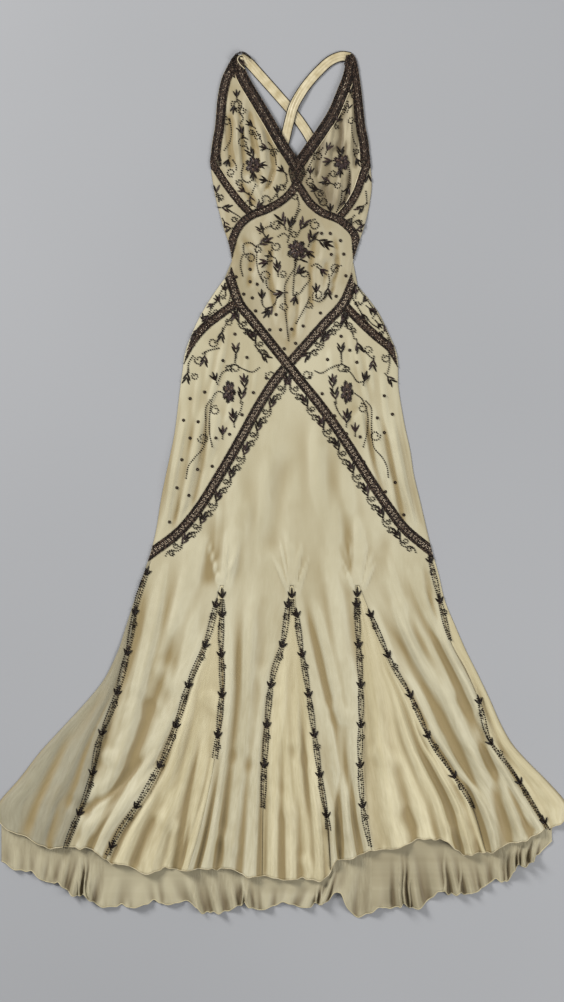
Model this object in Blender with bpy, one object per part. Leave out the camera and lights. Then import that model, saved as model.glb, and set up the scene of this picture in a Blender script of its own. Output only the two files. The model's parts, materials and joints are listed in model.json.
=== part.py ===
"""A beaded silk mermaid gown, laid out flat on its back on a level surface.

The front panels lie on the back panel, which shows past the front hem. Every cloth piece is a
thin closed wall. Tables are in millimetres on the laid-out plan: x runs to the right of the
picture, and drop runs from the shoulder line down to the hem. The model is in metres, +Z up and
+Y towards the shoulders, with its origin under the middle of the gown, on the surface.
"""

import math

import bmesh
import bpy
import numpy as np

# ---------------------------------------------------------------- driving dimensions, millimetres
MM = 0.001
CENTRE_X = -11.75          # the plan's middle, between the two hem corners
CENTRE_DROP = 800.3        # halfway between the shoulder tips and the lowest ruffle
WALL = 1.6                 # chiffon and its silk underlining
BACK_WALL = 1.5
STRAP_WALL = 1.5
SEAM_GAP = 0.3
BAND_WALL = 1.2            # beadwork on net
FLOWER_WALL = 1.8
FRONT_REST = BACK_WALL + SEAM_GAP
PUFF = 3.0                 # how far the middle of the front stands off the back
PUFF_REACH = 45.0          # how far from a side edge the front takes to rise
EDGE_MARGIN = 0.6          # bands stop this far inside a cloth edge
CORNER = 3.0               # pieces that run to a point are cut off this far before it
APEX_DROP = 990.0          # where the godet slits begin
BACK_INSET = 8.0           # the back's sides lie this far inside the front's
RUFFLE_START = 5.0         # the back begins to ruffle this far past the front hem
JOIN_GAP = 0.8             # between beaded bands where they meet
LEAST_COLUMN = 6.5         # between neighbouring columns of points at the hem
MOST_COLUMN = 19.0
BACK_TOP = 303.0           # the low back's top edge
FLAT_MARGIN = 14.0         # cloth lies smooth this far past a band before a crease begins
FLAT_BLEND = 22.0
CREASE_FADE = 0.35         # share of a crease's length over which each end fades out
MID_X = 16.0               # the V neck's lowest point, and the bodice's middle line
V_DROP = 198.0

# widths of the beaded bands
NECK_BAND = 21.0
ARMHOLE_BAND = 17.0
CUP_BAND = 14.0
UNDERBUST_BAND = 15.0
LONG_BAND = 18.5
YOKE_BAND = 16.0
STRAP_WIDTH = 18.0

# ---------------------------------------------------------------- outline and seams: (x, drop)
ARMHOLE_LEFT = (
    (-97, 9), (-106, 20), (-116, 37), (-124, 56), (-131, 92), (-135, 139), (-141, 175), (-144, 207),
)
ARMHOLE_RIGHT = ((121, 8), (127, 22), (132, 46), (136, 74), (139, 102), (143, 139), (149, 170), (152, 207))
NECK_LEFT = ((-84, 12), (-80, 31), (-70, 54), (-48, 91), (-24, 131), (-5, 165), (16, 198))
NECK_RIGHT = ((108, 11), (102, 44), (89, 78), (74, 113), (56, 142), (36, 170), (16, 198))
SIDE_LEFT = (
    (-144, 207), (-140, 240), (-133, 278), (-126, 305), (-118, 333), (-109, 361), (-104, 392),
    (-110, 414), (-122, 429), (-139, 453), (-154, 477), (-168, 503), (-181, 533), (-191, 562),
    (-195, 592), (-200, 629), (-209, 703), (-218, 749), (-228, 796), (-235, 832), (-244, 888),
    (-253, 925), (-268, 971), (-281, 1008), (-302, 1073), (-314, 1110), (-339, 1162), (-370, 1202),
    (-413, 1249), (-459, 1299), (-496, 1347), (-532, 1388), (-540, 1410), (-536, 1432),
)
SIDE_RIGHT = (
    (152, 207), (155, 250), (152, 278), (148, 300), (142, 324), (133, 352), (122, 385),
    (118, 407), (121, 428), (133, 441), (152, 464), (170, 490), (185, 522), (196, 546), (203, 572),
    (204, 601), (205, 629), (216, 694), (226, 740), (233, 786), (244, 832), (255, 879),
    (266, 925), (279, 971), (290, 1018), (309, 1064), (329, 1110), (352, 1156), (374, 1202),
    (392, 1243), (414, 1282), (442, 1314), (475, 1347), (507, 1382), (518, 1402), (514, 1421),
)
CUP_SEAM_LEFT = ((-144, 207), (-132, 222), (-118, 244), (-101, 267), (-84, 288), (-66, 306))
CUP_SEAM_RIGHT = ((152, 207), (142, 222), (135, 242), (127, 264), (113, 288), (92, 313))
UNDERBUST_LEFT = (
    (16, 247), (4, 266), (-16, 283), (-40, 296), (-66, 306), (-86, 321), (-99, 342), (-105, 370),
)
UNDERBUST_RIGHT = (
    (16, 247), (26, 262), (40, 283), (62, 301), (92, 313), (110, 326), (124, 344), (128, 370),
)
CROSS_LEFT = ((-110, 414), (-92, 466), (-70, 495), (-43, 529), (0, 583))
CROSS_RIGHT = ((121, 428), (102, 470), (68, 507), (33, 546), (0, 583))
YOKE_LEFT = ((-92, 466), (-122, 487), (-154, 512), (-178, 540), (-191, 562))
YOKE_RIGHT = ((102, 470), (130, 499), (161, 528), (189, 551), (203, 572))
HIP_LEFT = (
    (0, 583), (-27, 616), (-56, 662), (-89, 722), (-126, 786), (-163, 845), (-202, 892), (-250, 932),
)
HIP_RIGHT = (
    (0, 583), (24, 614), (59, 657), (105, 722), (152, 796), (189, 851), (218, 888), (262, 928),
)

# godet seams, left to right, from the slits' tops down: (x, drop)
SIDE_SEAM_LEFT = (
    (-246, 928), (-259, 960), (-279, 1018), (-296, 1110), (-320, 1202), (-348, 1276), (-370, 1369),
    (-403, 1452), (-413, 1480),
)
SEAM_1 = (
    (-125, 990), (-150, 1092), (-181, 1166), (-204, 1240), (-233, 1314), (-274, 1388), (-311, 1443),
    (-339, 1500),
)
SEAM_2 = ((-119, 990), (-124, 1092), (-122, 1184), (-131, 1276), (-142, 1350), (-163, 1443), (-185, 1516))
SEAM_3 = ((4, 990), (-9, 1092), (-30, 1166), (-41, 1276), (-46, 1388), (-48, 1534))
SEAM_4 = ((10, 990), (22, 1092), (37, 1184), (50, 1276), (63, 1369), (74, 1434), (80, 1524))
SEAM_5 = ((125, 990), (130, 1092), (135, 1202), (133, 1314), (139, 1406), (152, 1471), (156, 1486))
SEAM_6 = (
    (131, 990), (161, 1064), (194, 1138), (226, 1193), (263, 1276), (300, 1332), (340, 1397), (368, 1490),
)
SIDE_SEAM_RIGHT = (
    (258, 924), (267, 960), (281, 1018), (300, 1092), (329, 1147), (352, 1202), (368, 1267),
    (392, 1304), (420, 1341), (448, 1388), (481, 1442),
)
FRONT_HEM = (
    (-540, 1424), (-496, 1452), (-450, 1471), (-413, 1474), (-372, 1474), (-339, 1495), (-292, 1510),
    (-265, 1519), (-209, 1513), (-172, 1516), (-120, 1512), (-70, 1526), (4, 1532), (68, 1530),
    (91, 1500), (152, 1482), (207, 1471), (275, 1456), (309, 1478), (346, 1487), (401, 1471),
    (429, 1462), (466, 1447), (490, 1436), (518, 1419),
)
BACK_HEM = (
    (-530, 1500), (-511, 1508), (-468, 1526), (-422, 1545), (-385, 1563), (-348, 1578), (-311, 1584),
    (-255, 1578), (-191, 1577), (-154, 1591), (-131, 1597), (-98, 1582), (-52, 1586), (4, 1578),
    (50, 1584), (91, 1556), (107, 1582), (124, 1597), (152, 1595), (189, 1582), (235, 1584),
    (272, 1563), (290, 1554), (322, 1563), (374, 1539), (401, 1536), (420, 1513), (448, 1502),
    (470, 1480), (488, 1462),
)

# ---------------------------------------------------------------- folds and creases
# A skirt fold follows the godet seams down. Columns: where its crest meets the hem (x), the drop
# it starts from, the width of its left and of its right slope at the hem, and its height there.
SKIRT_FOLDS = (
    (-514, 1180, 24, 24, 6), (-461, 1110, 28, 22, 9), (-420, 950, 18, 9, 11), (-388, 1150, 12, 14, 6),
    (-360, 1270, 9, 32, 17), (-312, 1050, 16, 30, 13), (-255, 1190, 30, 20, 8), (-190, 1230, 10, 22, 17),
    (-156, 1010, 13, 26, 13), (-108, 1240, 20, 18, 7), (-66, 1020, 30, 12, 15), (-30, 1080, 13, 16, 8),
    (5, 1130, 16, 14, 10), (37, 1110, 13, 12, 9), (59, 1240, 10, 10, 7), (87, 1320, 8, 12, 16),
    (120, 990, 22, 12, 15), (148, 1020, 12, 17, 11), (206, 1140, 30, 30, 9), (262, 1190, 24, 22, 8),
    (304, 1080, 28, 10, 15), (337, 1050, 15, 9, 13), (362, 1240, 9, 9, 10), (386, 1090, 14, 12, 16),
    (430, 1040, 24, 20, 9), (468, 1000, 16, 14, 10), (503, 1040, 14, 12, 8),
)
# A crease is a straight soft ridge. Columns: x and drop of its two ends, half-width, height.
CREASES = (
    (-46, 100, -38, 215, 13, 2.2), (-92, 120, -98, 205, 12, 2.0), (-68, 235, -50, 270, 12, 1.6),
    (108, 110, 113, 262, 11, 3.0), (66, 190, 78, 270, 13, 2.0), (-64, 330, -20, 300, 12, 1.6),
    (-70, 400, -30, 440, 15, 1.6), (70, 360, 88, 430, 13, 1.8), (20, 430, 6, 520, 18, 1.5),
    (-158, 640, -186, 830, 15, 3.4), (-126, 620, -152, 780, 15, 2.8), (-196, 660, -218, 870, 13, 3.0),
    (-92, 590, -100, 690, 14, 2.2), (148, 640, 180, 820, 15, 3.2), (118, 610, 142, 760, 15, 2.6),
    (184, 660, 222, 860, 13, 3.0), (84, 590, 96, 690, 14, 2.2),
    (-232, 960, -300, 1290, 18, 5.0), (-196, 985, -262, 1250, 20, 4.0), (-160, 1000, -214, 1210, 16, 3.4),
    (-114, 880, -122, 985, 9, 2.6), (7, 900, 7, 985, 9, 2.4), (128, 850, 128, 985, 9, 3.0),
    (78, 900, 118, 1010, 13, 2.6), (46, 1000, 92, 1240, 18, 4.0), (-66, 1000, -82, 1230, 18, 3.6),
    (170, 940, 262, 1190, 18, 4.6), (206, 960, 322, 1230, 18, 4.4), (238, 975, 372, 1290, 16, 4.0),
)
# A ruffle stands at the back hem. Columns: x, width of its left and right slopes, height.
BACK_RUFFLES = (
    (-505, 22, 20, 7), (-452, 26, 18, 8), (-404, 16, 12, 12), (-378, 12, 12, 14), (-352, 12, 14, 11),
    (-316, 18, 18, 7), (-268, 22, 16, 9), (-226, 18, 18, 8), (-186, 14, 14, 11), (-148, 14, 16, 13),
    (-112, 16, 10, 9), (-82, 10, 12, 15), (-40, 22, 20, 8), (10, 22, 20, 9), (52, 18, 16, 10),
    (84, 12, 12, 14), (122, 18, 16, 12), (166, 20, 18, 9), (200, 12, 12, 12), (224, 10, 12, 15),
    (262, 16, 14, 9), (294, 12, 12, 14), (322, 12, 12, 12), (352, 12, 14, 10), (388, 14, 14, 9),
    (418, 10, 10, 13), (442, 10, 10, 14), (464, 9, 9, 11),
)
# Beaded flowers. Columns: name, x, drop, half-width, half-length.
FLOWER_CALM = 12.0
FLOWERS = (
    ("flower_cup_left", -64, 214, 16, 17), ("flower_cup_right", 99, 209, 16, 17),
    ("flower_midriff", 17, 370, 20, 19), ("flower_hip_left", -109, 633, 13, 22),
    ("flower_hip_right", 109, 633, 13, 22),
)
PETALS = 8
PETAL_NOTCH = 0.26         # how far in the edge dips between petals

# strap centre lines, from the shoulder tip to the back's top edge, hidden below the cups
STRAP_LEFT_LINE = (
    (-88, 12), (-73, 23), (-54, 44), (-22, 80), (4, 110), (24, 136), (43, 167), (62, 213), (76, 259),
    (88, 308),
)
STRAP_RIGHT_LINE = (
    (116, 14), (98, 12), (77, 21), (57, 39), (39, 59), (24, 80), (10, 106), (1, 138), (-7, 172), (-18, 214),
    (-32, 262), (-47, 308),
)
STRAP_CROSSING = (8.0, 114.0)
STRAP_BRIDGE = 30.0        # the upper strap is fully raised this far from the crossing
STRAP_RAMP = 34.0
STRAP_STEPS = 22
STRAP_LIMIT = 200.0        # half the length of the line the straps end at

# colours, roughness
IVORY_CHIFFON = ((0.62, 0.56, 0.40), 0.62)
CHAMPAGNE_CHIFFON = ((0.55, 0.48, 0.31), 0.62)
GREY_BEIGE_CHIFFON = ((0.42, 0.37, 0.26), 0.66)
CREAM_SATIN = ((0.62, 0.55, 0.40), 0.42)
DARK_BEADS = ((0.035, 0.026, 0.022), 0.32)


# ---------------------------------------------------------------- plan curves
def smooth(points, steps=6):
    """A round line through hand-placed points."""
    p = np.asarray(points, float)
    p = np.vstack([2 * p[0] - p[1], p, 2 * p[-1] - p[-2]])
    t = np.linspace(0, 1, steps, endpoint=False)[:, None]
    runs = []
    for a, b, c, d in zip(p, p[1:], p[2:], p[3:]):
        bend = (2 * a - 5 * b + 4 * c - d) * t**2 + (3 * b - a - 3 * c + d) * t**3
        runs.append(0.5 * (2 * b + (c - a) * t + bend))
    return np.vstack([*runs, p[-2:-1]])


def sample(line, count):
    """count + 1 points at equal steps along a line."""
    along = np.concatenate([[0], np.cumsum(np.hypot(*np.diff(line, axis=0).T))])
    places = np.linspace(0, along[-1], count + 1)
    return np.column_stack([np.interp(places, along, line[:, 0]), np.interp(places, along, line[:, 1])])


def curve(points, count):
    return sample(smooth(points), count)


def x_at(line, drop):
    """x of a line that runs down the gown, at the given drops."""
    return np.interp(drop, line[:, 1], line[:, 0])


def beside(line, offset):
    """The line moved sideways. One that runs down moves to the picture's right where offset is positive."""
    way = np.gradient(line, axis=0)
    way /= np.hypot(*way.T)[:, None]
    return line + offset * np.column_stack([way[:, 1], -way[:, 0]])


def chain(*lines):
    """Lines joined end to end, each shared end kept once."""
    return np.vstack([lines[0], *(line[1:] for line in lines[1:])])


def crossing(a, b, c, d):
    """Where the stretch a-b crosses c-d, as a share of a-b, or None."""
    r, s = b - a, d - c
    turn = r[0] * s[1] - r[1] * s[0]
    if abs(turn) < 1e-9:
        return None
    t = ((c - a)[0] * s[1] - (c - a)[1] * s[0]) / turn
    u = ((c - a)[0] * r[1] - (c - a)[1] * r[0]) / turn
    return t if 0 <= t <= 1 and 0 <= u <= 1 else None


def cut_before(line, stop):
    """The line up to where it first meets the stop line."""
    for i in range(len(line) - 1):
        for c, d in zip(stop, stop[1:]):
            t = crossing(line[i], line[i + 1], c, d)
            if t is not None:
                return np.vstack([line[: i + 1], line[i] + t * (line[i + 1] - line[i])])
    return line


def lengthened(line, extra):
    """The line drawn out straight past its last point."""
    way = line[-1] - line[-2]
    return np.vstack([line, line[-1] + way / np.hypot(*way) * extra])


def onto(outline, table, row):
    """The table with one end row moved sideways onto the outline."""
    points = [list(point) for point in table]
    points[row][0] = float(x_at(outline, points[row][1]))
    return points


LEFT = smooth(SIDE_LEFT)
RIGHT = smooth(SIDE_RIGHT)
CUP_SEAMS = {"left": CUP_SEAM_LEFT, "right": CUP_SEAM_RIGHT}
UNDERBUSTS = {"left": onto(LEFT, UNDERBUST_LEFT, -1), "right": onto(RIGHT, UNDERBUST_RIGHT, -1)}
CROSSES = {"left": onto(LEFT, CROSS_LEFT, 0), "right": onto(RIGHT, CROSS_RIGHT, 0)}
YOKES = {"left": onto(LEFT, YOKE_LEFT, -1), "right": onto(RIGHT, YOKE_RIGHT, -1)}
HIPS = {"left": onto(LEFT, HIP_LEFT, -1), "right": onto(RIGHT, HIP_RIGHT, -1)}
LEFT_EDGE = np.vstack([smooth(ARMHOLE_LEFT), LEFT[1:]])
RIGHT_EDGE = np.vstack([smooth(ARMHOLE_RIGHT), RIGHT[1:]])
HEM = smooth(FRONT_HEM)
SEAMS = [smooth(seam) for seam in (
    SIDE_LEFT, SIDE_SEAM_LEFT, SEAM_1, SEAM_2, SEAM_3, SEAM_4, SEAM_5, SEAM_6, SIDE_SEAM_RIGHT, SIDE_RIGHT,
)]


def hem_drop(x):
    return np.interp(x, HEM[:, 0], HEM[:, 1])


def foot(seam):
    """x where a seam reaches the front hem."""
    short = hem_drop(seam[:, 0]) - seam[:, 1]
    low = len(short) - 1 if short[-1] > 0 else int(np.argmax(short <= 0))
    return seam[low, 0]


SEAM_FEET = np.array([foot(seam) for seam in SEAMS])


def fold_places(low, high, folds):
    """Places across the hem where columns of points stand: its ends, the crests, then the slopes."""
    crests = [crest for crest, *_ in folds]
    slopes = [crest + off for crest, left, right in folds for off in (-left, right, -left / 2, right / 2)]
    kept = [low, high]
    for place in crests + slopes:
        if low < place < high and min(abs(place - other) for other in kept) >= LEAST_COLUMN:
            kept.append(place)
    kept.sort()
    fills = [
        near + (far - near) * i / parts
        for near, far in zip(kept, kept[1:])
        for parts in [math.ceil((far - near) / MOST_COLUMN)]
        for i in range(1, parts)
    ]
    return np.array(sorted(kept + fills))


# ---------------------------------------------------------------- heights of the laid-out cloth
def smoothstep(t):
    t = np.clip(t, 0, 1)
    return t * t * (3 - 2 * t)


def distance(x, drop, line):
    """How far each point is from a line."""
    best = np.full(np.shape(x), 1e9)
    for (ax, ay), (bx, by) in zip(line, line[1:]):
        span = (bx - ax) ** 2 + (by - ay) ** 2 + 1e-12
        t = np.clip(((x - ax) * (bx - ax) + (drop - ay) * (by - ay)) / span, 0, 1)
        best = np.minimum(best, np.hypot(x - ax - t * (bx - ax), drop - ay - t * (by - ay)))
    return best


def fan(x, drop):
    """Where the cloth's run through a point meets the hem, reading between the seams beside it."""
    down = np.maximum(drop, APEX_DROP)
    places = np.array([x_at(seam, down) for seam in SEAMS])
    result = SEAM_FEET[0] + (x - places[0])
    for near, far, near_foot, far_foot in zip(places, places[1:], SEAM_FEET, SEAM_FEET[1:]):
        share = (x - near) / np.maximum(far - near, 1e-6)
        result = np.where(x >= near, near_foot + share * (far_foot - near_foot), result)
    return result


def skirt_relief(x, drop):
    """Height of the long skirt folds."""
    at_hem = fan(x, drop)
    height = np.zeros(np.shape(x))
    for crest, start, left, right, tall in SKIRT_FOLDS:
        grown = smoothstep((drop - start) / (hem_drop(crest) - start))
        off = at_hem - crest
        ridge = smoothstep(1 - np.where(off < 0, -off / left, off / right))
        height = np.maximum(height, tall * grown * ridge)
    return height


def crease_relief(x, drop):
    """Height of the short creases, each fading at its two ends."""
    height = np.zeros(np.shape(x))
    for ax, ay, bx, by, half, tall in CREASES:
        length = math.hypot(bx - ax, by - ay)
        along = ((x - ax) * (bx - ax) + (drop - ay) * (by - ay)) / length
        across = ((x - ax) * (by - ay) - (drop - ay) * (bx - ax)) / length
        fade = CREASE_FADE * length
        ends = smoothstep(along / fade) * smoothstep((length - along) / fade)
        height += tall * ends * smoothstep(1 - np.abs(across) / half)
    return height


def calm(x, drop):
    """0 on and beside beadwork, where the cloth is held smooth, and 1 well clear of it."""
    away = np.full(np.shape(x), 1e9)
    for line in BAND_LINES:
        away = np.minimum(away, distance(x, drop, line))
    for _, fx, fy, half, long in FLOWERS:
        away = np.minimum(away, np.hypot(x - fx, drop - fy) - max(half, long) - FLOWER_CALM + FLAT_MARGIN)
    return smoothstep((away - FLAT_MARGIN) / FLAT_BLEND)


def front_under(x, drop):
    """Height of the underside of the front layer."""
    inside = np.minimum(x - x_at(LEFT_EDGE, drop), x_at(RIGHT_EDGE, drop) - x)
    puff = PUFF * (1 - np.exp(-(np.maximum(inside, 0) / PUFF_REACH) ** 2))
    return FRONT_REST + puff + skirt_relief(x, drop) + crease_relief(x, drop) * calm(x, drop)


def back_under(x, drop):
    """Height of the underside of the back's hem ruffles, which begin just past the front hem."""
    start = hem_drop(x) + RUFFLE_START
    end = np.interp(x, BACK_EDGE[:, 0], BACK_EDGE[:, 1])
    grown = smoothstep((drop - start) / np.maximum(end - start, 1))
    height = np.zeros(np.shape(x))
    for crest, left, right, tall in BACK_RUFFLES:
        off = x - crest
        height = np.maximum(height, tall * smoothstep(1 - np.where(off < 0, -off / left, off / right)))
    return height * grown


# ---------------------------------------------------------------- making walls
def grid_cells(rows, columns, skip=()):
    """Corners of each cell of a grid of points, leaving out (row, column) in skip."""
    cells = []
    for r in range(rows - 1):
        for c in range(columns - 1):
            if (r, c) not in skip:
                at = r * columns + c
                cells.append((at, at + columns, at + columns + 1, at + 1))
    return cells


def finish(name, colour, roughness):
    """The piece's own material."""
    material = bpy.data.materials.new(name)
    material.use_nodes = True
    shader = material.node_tree.nodes["Principled BSDF"]
    shader.inputs["Base Color"].default_value = (*colour, 1)
    shader.inputs["Roughness"].default_value = roughness
    material.diffuse_color = (*colour, 1)
    return material


def wall(name, points, cells, under, thickness, looks):
    """One closed piece of cloth: the cells' upper faces, their lower faces and the rim between."""
    flat = np.asarray(points, float).reshape(-1, 2)
    low = np.asarray(under, float).reshape(-1)
    used = sorted({corner for cell in cells for corner in cell})
    place = {corner: i for i, corner in enumerate(used)}
    count = len(used)
    verts = []
    for lift in (0.0, thickness):
        for i in used:
            x, drop = flat[i]
            verts.append(((x - CENTRE_X) * MM, (CENTRE_DROP - drop) * MM, (low[i] + lift) * MM))
    faces = []
    rims = {}
    for cell in cells:
        corners = [place[i] for i in cell]
        faces.append([i + count for i in corners])
        faces.append(corners[::-1])
        for a, b in zip(corners, corners[1:] + corners[:1]):
            if rims.pop((b, a), None) is None:
                rims[a, b] = True
    faces += [(a, b, b + count, a + count) for a, b in rims]
    mesh = bpy.data.meshes.new(name)
    mesh.from_pydata(verts, [], faces)
    build = bmesh.new()
    build.from_mesh(mesh)
    bmesh.ops.recalc_face_normals(build, faces=build.faces)
    build.to_mesh(mesh)
    build.free()
    mesh.shade_smooth()
    mesh.set_sharp_from_angle(angle=math.radians(50))
    mesh.materials.append(finish(name, *looks))
    piece = bpy.data.objects.new(name, mesh)
    bpy.context.scene.collection.objects.link(piece)
    return piece


def drawn_in(grid, by=SEAM_GAP / 2):
    """The grid with its border moved inwards, for the seam's gap."""
    out = grid.copy()
    for border, inner, put in (
        (grid[:, 0], grid[:, 1], (slice(None), 0)), (grid[:, -1], grid[:, -2], (slice(None), -1)),
        (grid[0], grid[1], (0, slice(None))), (grid[-1], grid[-2], (-1, slice(None))),
    ):
        way = np.gradient(border, axis=0)
        length = np.maximum(np.hypot(*way.T), 1e-9)[:, None]
        side = np.column_stack([way[:, 1], -way[:, 0]]) / length
        inwards = np.sign(np.sum(side * (inner - border), axis=1))
        inwards = np.where(inwards == 0, 1, inwards)[:, None]
        out[put] += side * inwards * by
    return out


def patch(top, bottom, left, right):
    """A grid of points between four border lines."""
    u = np.linspace(0, 1, len(top))[None, :, None]
    v = np.linspace(0, 1, len(left))[:, None, None]
    across = (1 - v) * top[None] + v * bottom[None]
    down = (1 - u) * left[:, None] + u * right[:, None]
    corners = (1 - v) * ((1 - u) * top[0] + u * top[-1]) + v * ((1 - u) * bottom[0] + u * bottom[-1])
    return across + down - corners


def front_piece(name, top, bottom, left, right, looks=IVORY_CHIFFON):
    """A front panel between four border lines."""
    grid = drawn_in(patch(top, bottom, left, right))
    rows, columns = grid.shape[:2]
    under = front_under(grid[..., 0], grid[..., 1])
    return wall(name, grid, grid_cells(rows, columns), under, WALL, looks)


def shortened(line, by=CORNER):
    """The line with its last point moved back, where a piece would run to a point."""
    out = line.copy()
    way = out[-2] - out[-1]
    out[-1] += way / np.hypot(*way) * by
    return out


def straight(a, b, count):
    return np.linspace(a, b, count + 1)


# ---------------------------------------------------------------- bodice and hips
CUP_SIDE, CUP_UNDER, CUP_DOWN = 5, 4, 9
MIDDLE_DOWN = 2
WAIST_DOWN = 5
MIDRIFF_DOWN = 8
CROSS_UPPER, CROSS_LOWER = 2, 7
YOKE_STEPS = 6
HIP_ROWS = 9


def half_bodice(side):
    """One side's cup, underarm side, yoke and hip panel. Returns its underbust and crossing seams."""
    left_side = side == "left"
    armhole, neck, outline = {
        "left": (ARMHOLE_LEFT, NECK_LEFT, LEFT),
        "right": (ARMHOLE_RIGHT, NECK_RIGHT, RIGHT),
    }[side]

    def panel(name, top, low, outer, inner):
        """A panel given from its outer border to its inner one, whichever side it is on."""
        if left_side:
            front_piece(f"{name}_left", top, low, outer, inner)
        else:
            front_piece(f"{name}_right", top[::-1], low[::-1], inner, outer)

    cup_seam = curve(CUP_SEAMS[side], CUP_SIDE)
    join = len(UNDERBUSTS[side]) - 3
    under_cup = curve(UNDERBUSTS[side][:join], CUP_UNDER)
    under_side = curve(UNDERBUSTS[side][join - 1:], CUP_SIDE)
    neck_edge = chain(curve(neck, CUP_DOWN), straight((MID_X, V_DROP), under_cup[0], MIDDLE_DOWN))
    arm_edge = curve(armhole, CUP_DOWN + MIDDLE_DOWN)
    tip_edge = straight(arm_edge[0], neck_edge[0], CUP_SIDE + CUP_UNDER)
    panel("cup", tip_edge, chain(cup_seam, under_cup[::-1]), arm_edge, neck_edge)

    top, low = shortened(cup_seam), shortened(under_side[::-1])
    side_edge = straight_part(outline, top[0][1], low[0][1], WAIST_DOWN)
    panel("side_front", top, low, side_edge, straight(top[-1], low[-1], WAIST_DOWN))

    upper, lower = curve(CROSSES[side][:2], CROSS_UPPER), curve(CROSSES[side][1:], CROSS_LOWER)
    yoke_seam = curve(YOKES[side], YOKE_STEPS)
    inner = chain(upper, yoke_seam)
    outer = straight_part(outline, inner[0][1], inner[-1][1], CROSS_UPPER + YOKE_STEPS)
    inner, outer = (shortened(shortened(line)[::-1], 2 * CORNER)[::-1] for line in (inner, outer))
    panel("yoke", straight(outer[0], inner[0], 2), straight(outer[-1], inner[-1], 2), outer, inner)

    hip_seam = curve(HIPS[side], YOKE_STEPS + CROSS_LOWER)
    top = shortened(chain(yoke_seam[::-1], lower), 4 * CORNER)
    low = shortened(hip_seam[::-1], 4 * CORNER)
    side_edge = straight_part(outline, top[0][1], low[0][1], HIP_ROWS)
    panel("hip_panel", top, low, side_edge, straight(top[-1], low[-1], HIP_ROWS))
    return chain(under_cup, under_side), chain(upper, lower)


def straight_part(outline, top, low, count):
    """The stretch of an outline between two drops."""
    drops = np.linspace(top, low, count + 1)
    return np.column_stack([x_at(outline, drops), drops])


def midriff(under_left, under_right, cross_left, cross_right):
    """The long diamond between the underbust seams and the crossing."""
    top = chain(under_left[::-1], under_right)
    low = chain(cross_left, cross_right[::-1])
    left = straight_part(LEFT, top[0][1], low[0][1], MIDRIFF_DOWN)
    right = straight_part(RIGHT, top[-1][1], low[-1][1], MIDRIFF_DOWN)
    front_piece("midriff_front", top, low, left, right)


# ---------------------------------------------------------------- skirt
SKIRT_TOP_ROWS, SKIRT_ROWS, SIDE_TOP_ROWS = 4, 9, 2
FIRST_SEAM, LAST_SEAM = 1, 8   # the front skirt panel runs between these seams
HEM_TRIES = 20
SLITS = (2, 4, 6)          # the seam on the left of each slit in the front panel
GODETS = (
    ("godet_side_left", 0), ("godet_left", 2), ("godet_centre", 4), ("godet_right", 6),
    ("godet_side_right", 8),
)


def seam_places(first_seam):
    """Shares of the way across, between a seam and the next, where the cloth's folds need points."""
    low, high = SEAM_FEET[first_seam], SEAM_FEET[first_seam + 1]
    places = fold_places(low, high, [(crest, left, right) for crest, _, left, right, _ in SKIRT_FOLDS])
    return (places - low) / (high - low)


def run_down(first_seam, share, inset):
    """Points down the cloth from the slits' level to the hem, part of the way between two seams."""
    def x_of(drop):
        near = x_at(SEAMS[first_seam], drop) + inset
        far = x_at(SEAMS[first_seam + 1], drop) - inset
        return near + share * (far - near)

    low = hem_drop(SEAM_FEET[first_seam])
    for _ in range(HEM_TRIES):
        low = 0.5 * (low + hem_drop(x_of(low)))
    drops = np.linspace(APEX_DROP, low, SKIRT_ROWS + 1)
    return np.column_stack([x_of(drops), drops])


def godet(name, first_seam):
    """A gore set between two seams, from its narrow top to the hem."""
    half = SEAM_GAP / 2
    lines = [run_down(first_seam, share, half) for share in seam_places(first_seam)]
    grid = np.stack(lines, axis=1)
    if first_seam in SLITS:
        grid[0, :, 1] += SEAM_GAP
    else:
        start = max(SEAMS[first_seam][0, 1], SEAMS[first_seam + 1][0, 1]) + 4 * CORNER
        drops = np.linspace(start, APEX_DROP, SIDE_TOP_ROWS + 1)[:-1]
        near = x_at(SEAMS[first_seam], drops) + half
        far = x_at(SEAMS[first_seam + 1], drops) - half
        if first_seam < FIRST_SEAM:
            near = x_at(LEFT, drops) + half
        else:
            far = x_at(RIGHT, drops) - half
        shares = seam_places(first_seam)
        across = near[:, None] + shares * (far - near)[:, None]
        top = np.stack([across, np.broadcast_to(drops[:, None], across.shape)], axis=-1)
        grid = np.concatenate([top, grid])
    under = front_under(grid[..., 0], grid[..., 1])
    wall(name, grid, grid_cells(*grid.shape[:2]), under, WALL, CHAMPAGNE_CHIFFON)


def skirt_front():
    """The front skirt panel, below the crossing bands, with a slit for each godet."""
    half = SEAM_GAP / 2
    v_line = chain(smooth(HIPS["left"])[::-1], smooth(HIPS["right"]))
    lines, skip = [], set()
    for first_seam in range(FIRST_SEAM, LAST_SEAM):
        if first_seam in SLITS:
            rows = range(SKIRT_TOP_ROWS, SKIRT_TOP_ROWS + SKIRT_ROWS)
            skip |= {(row, len(lines) - 1) for row in rows}
            continue
        for share in seam_places(first_seam):
            down = run_down(first_seam, share, half)
            lines.append(chain(above_slits(v_line, down[0]), down))
    grid = np.stack(lines, axis=1)
    for column, seam in ((0, SEAMS[FIRST_SEAM]), (-1, SEAMS[LAST_SEAM])):
        drops = grid[:SKIRT_TOP_ROWS, column, 1]
        inwards = half if column == 0 else -half
        grid[:SKIRT_TOP_ROWS, column, 0] = x_at(seam, np.maximum(drops, seam[0, 1])) + inwards
    under = front_under(grid[..., 0], grid[..., 1])
    wall("skirt_front", grid, grid_cells(*grid.shape[:2], skip), under, WALL, IVORY_CHIFFON)


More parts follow.
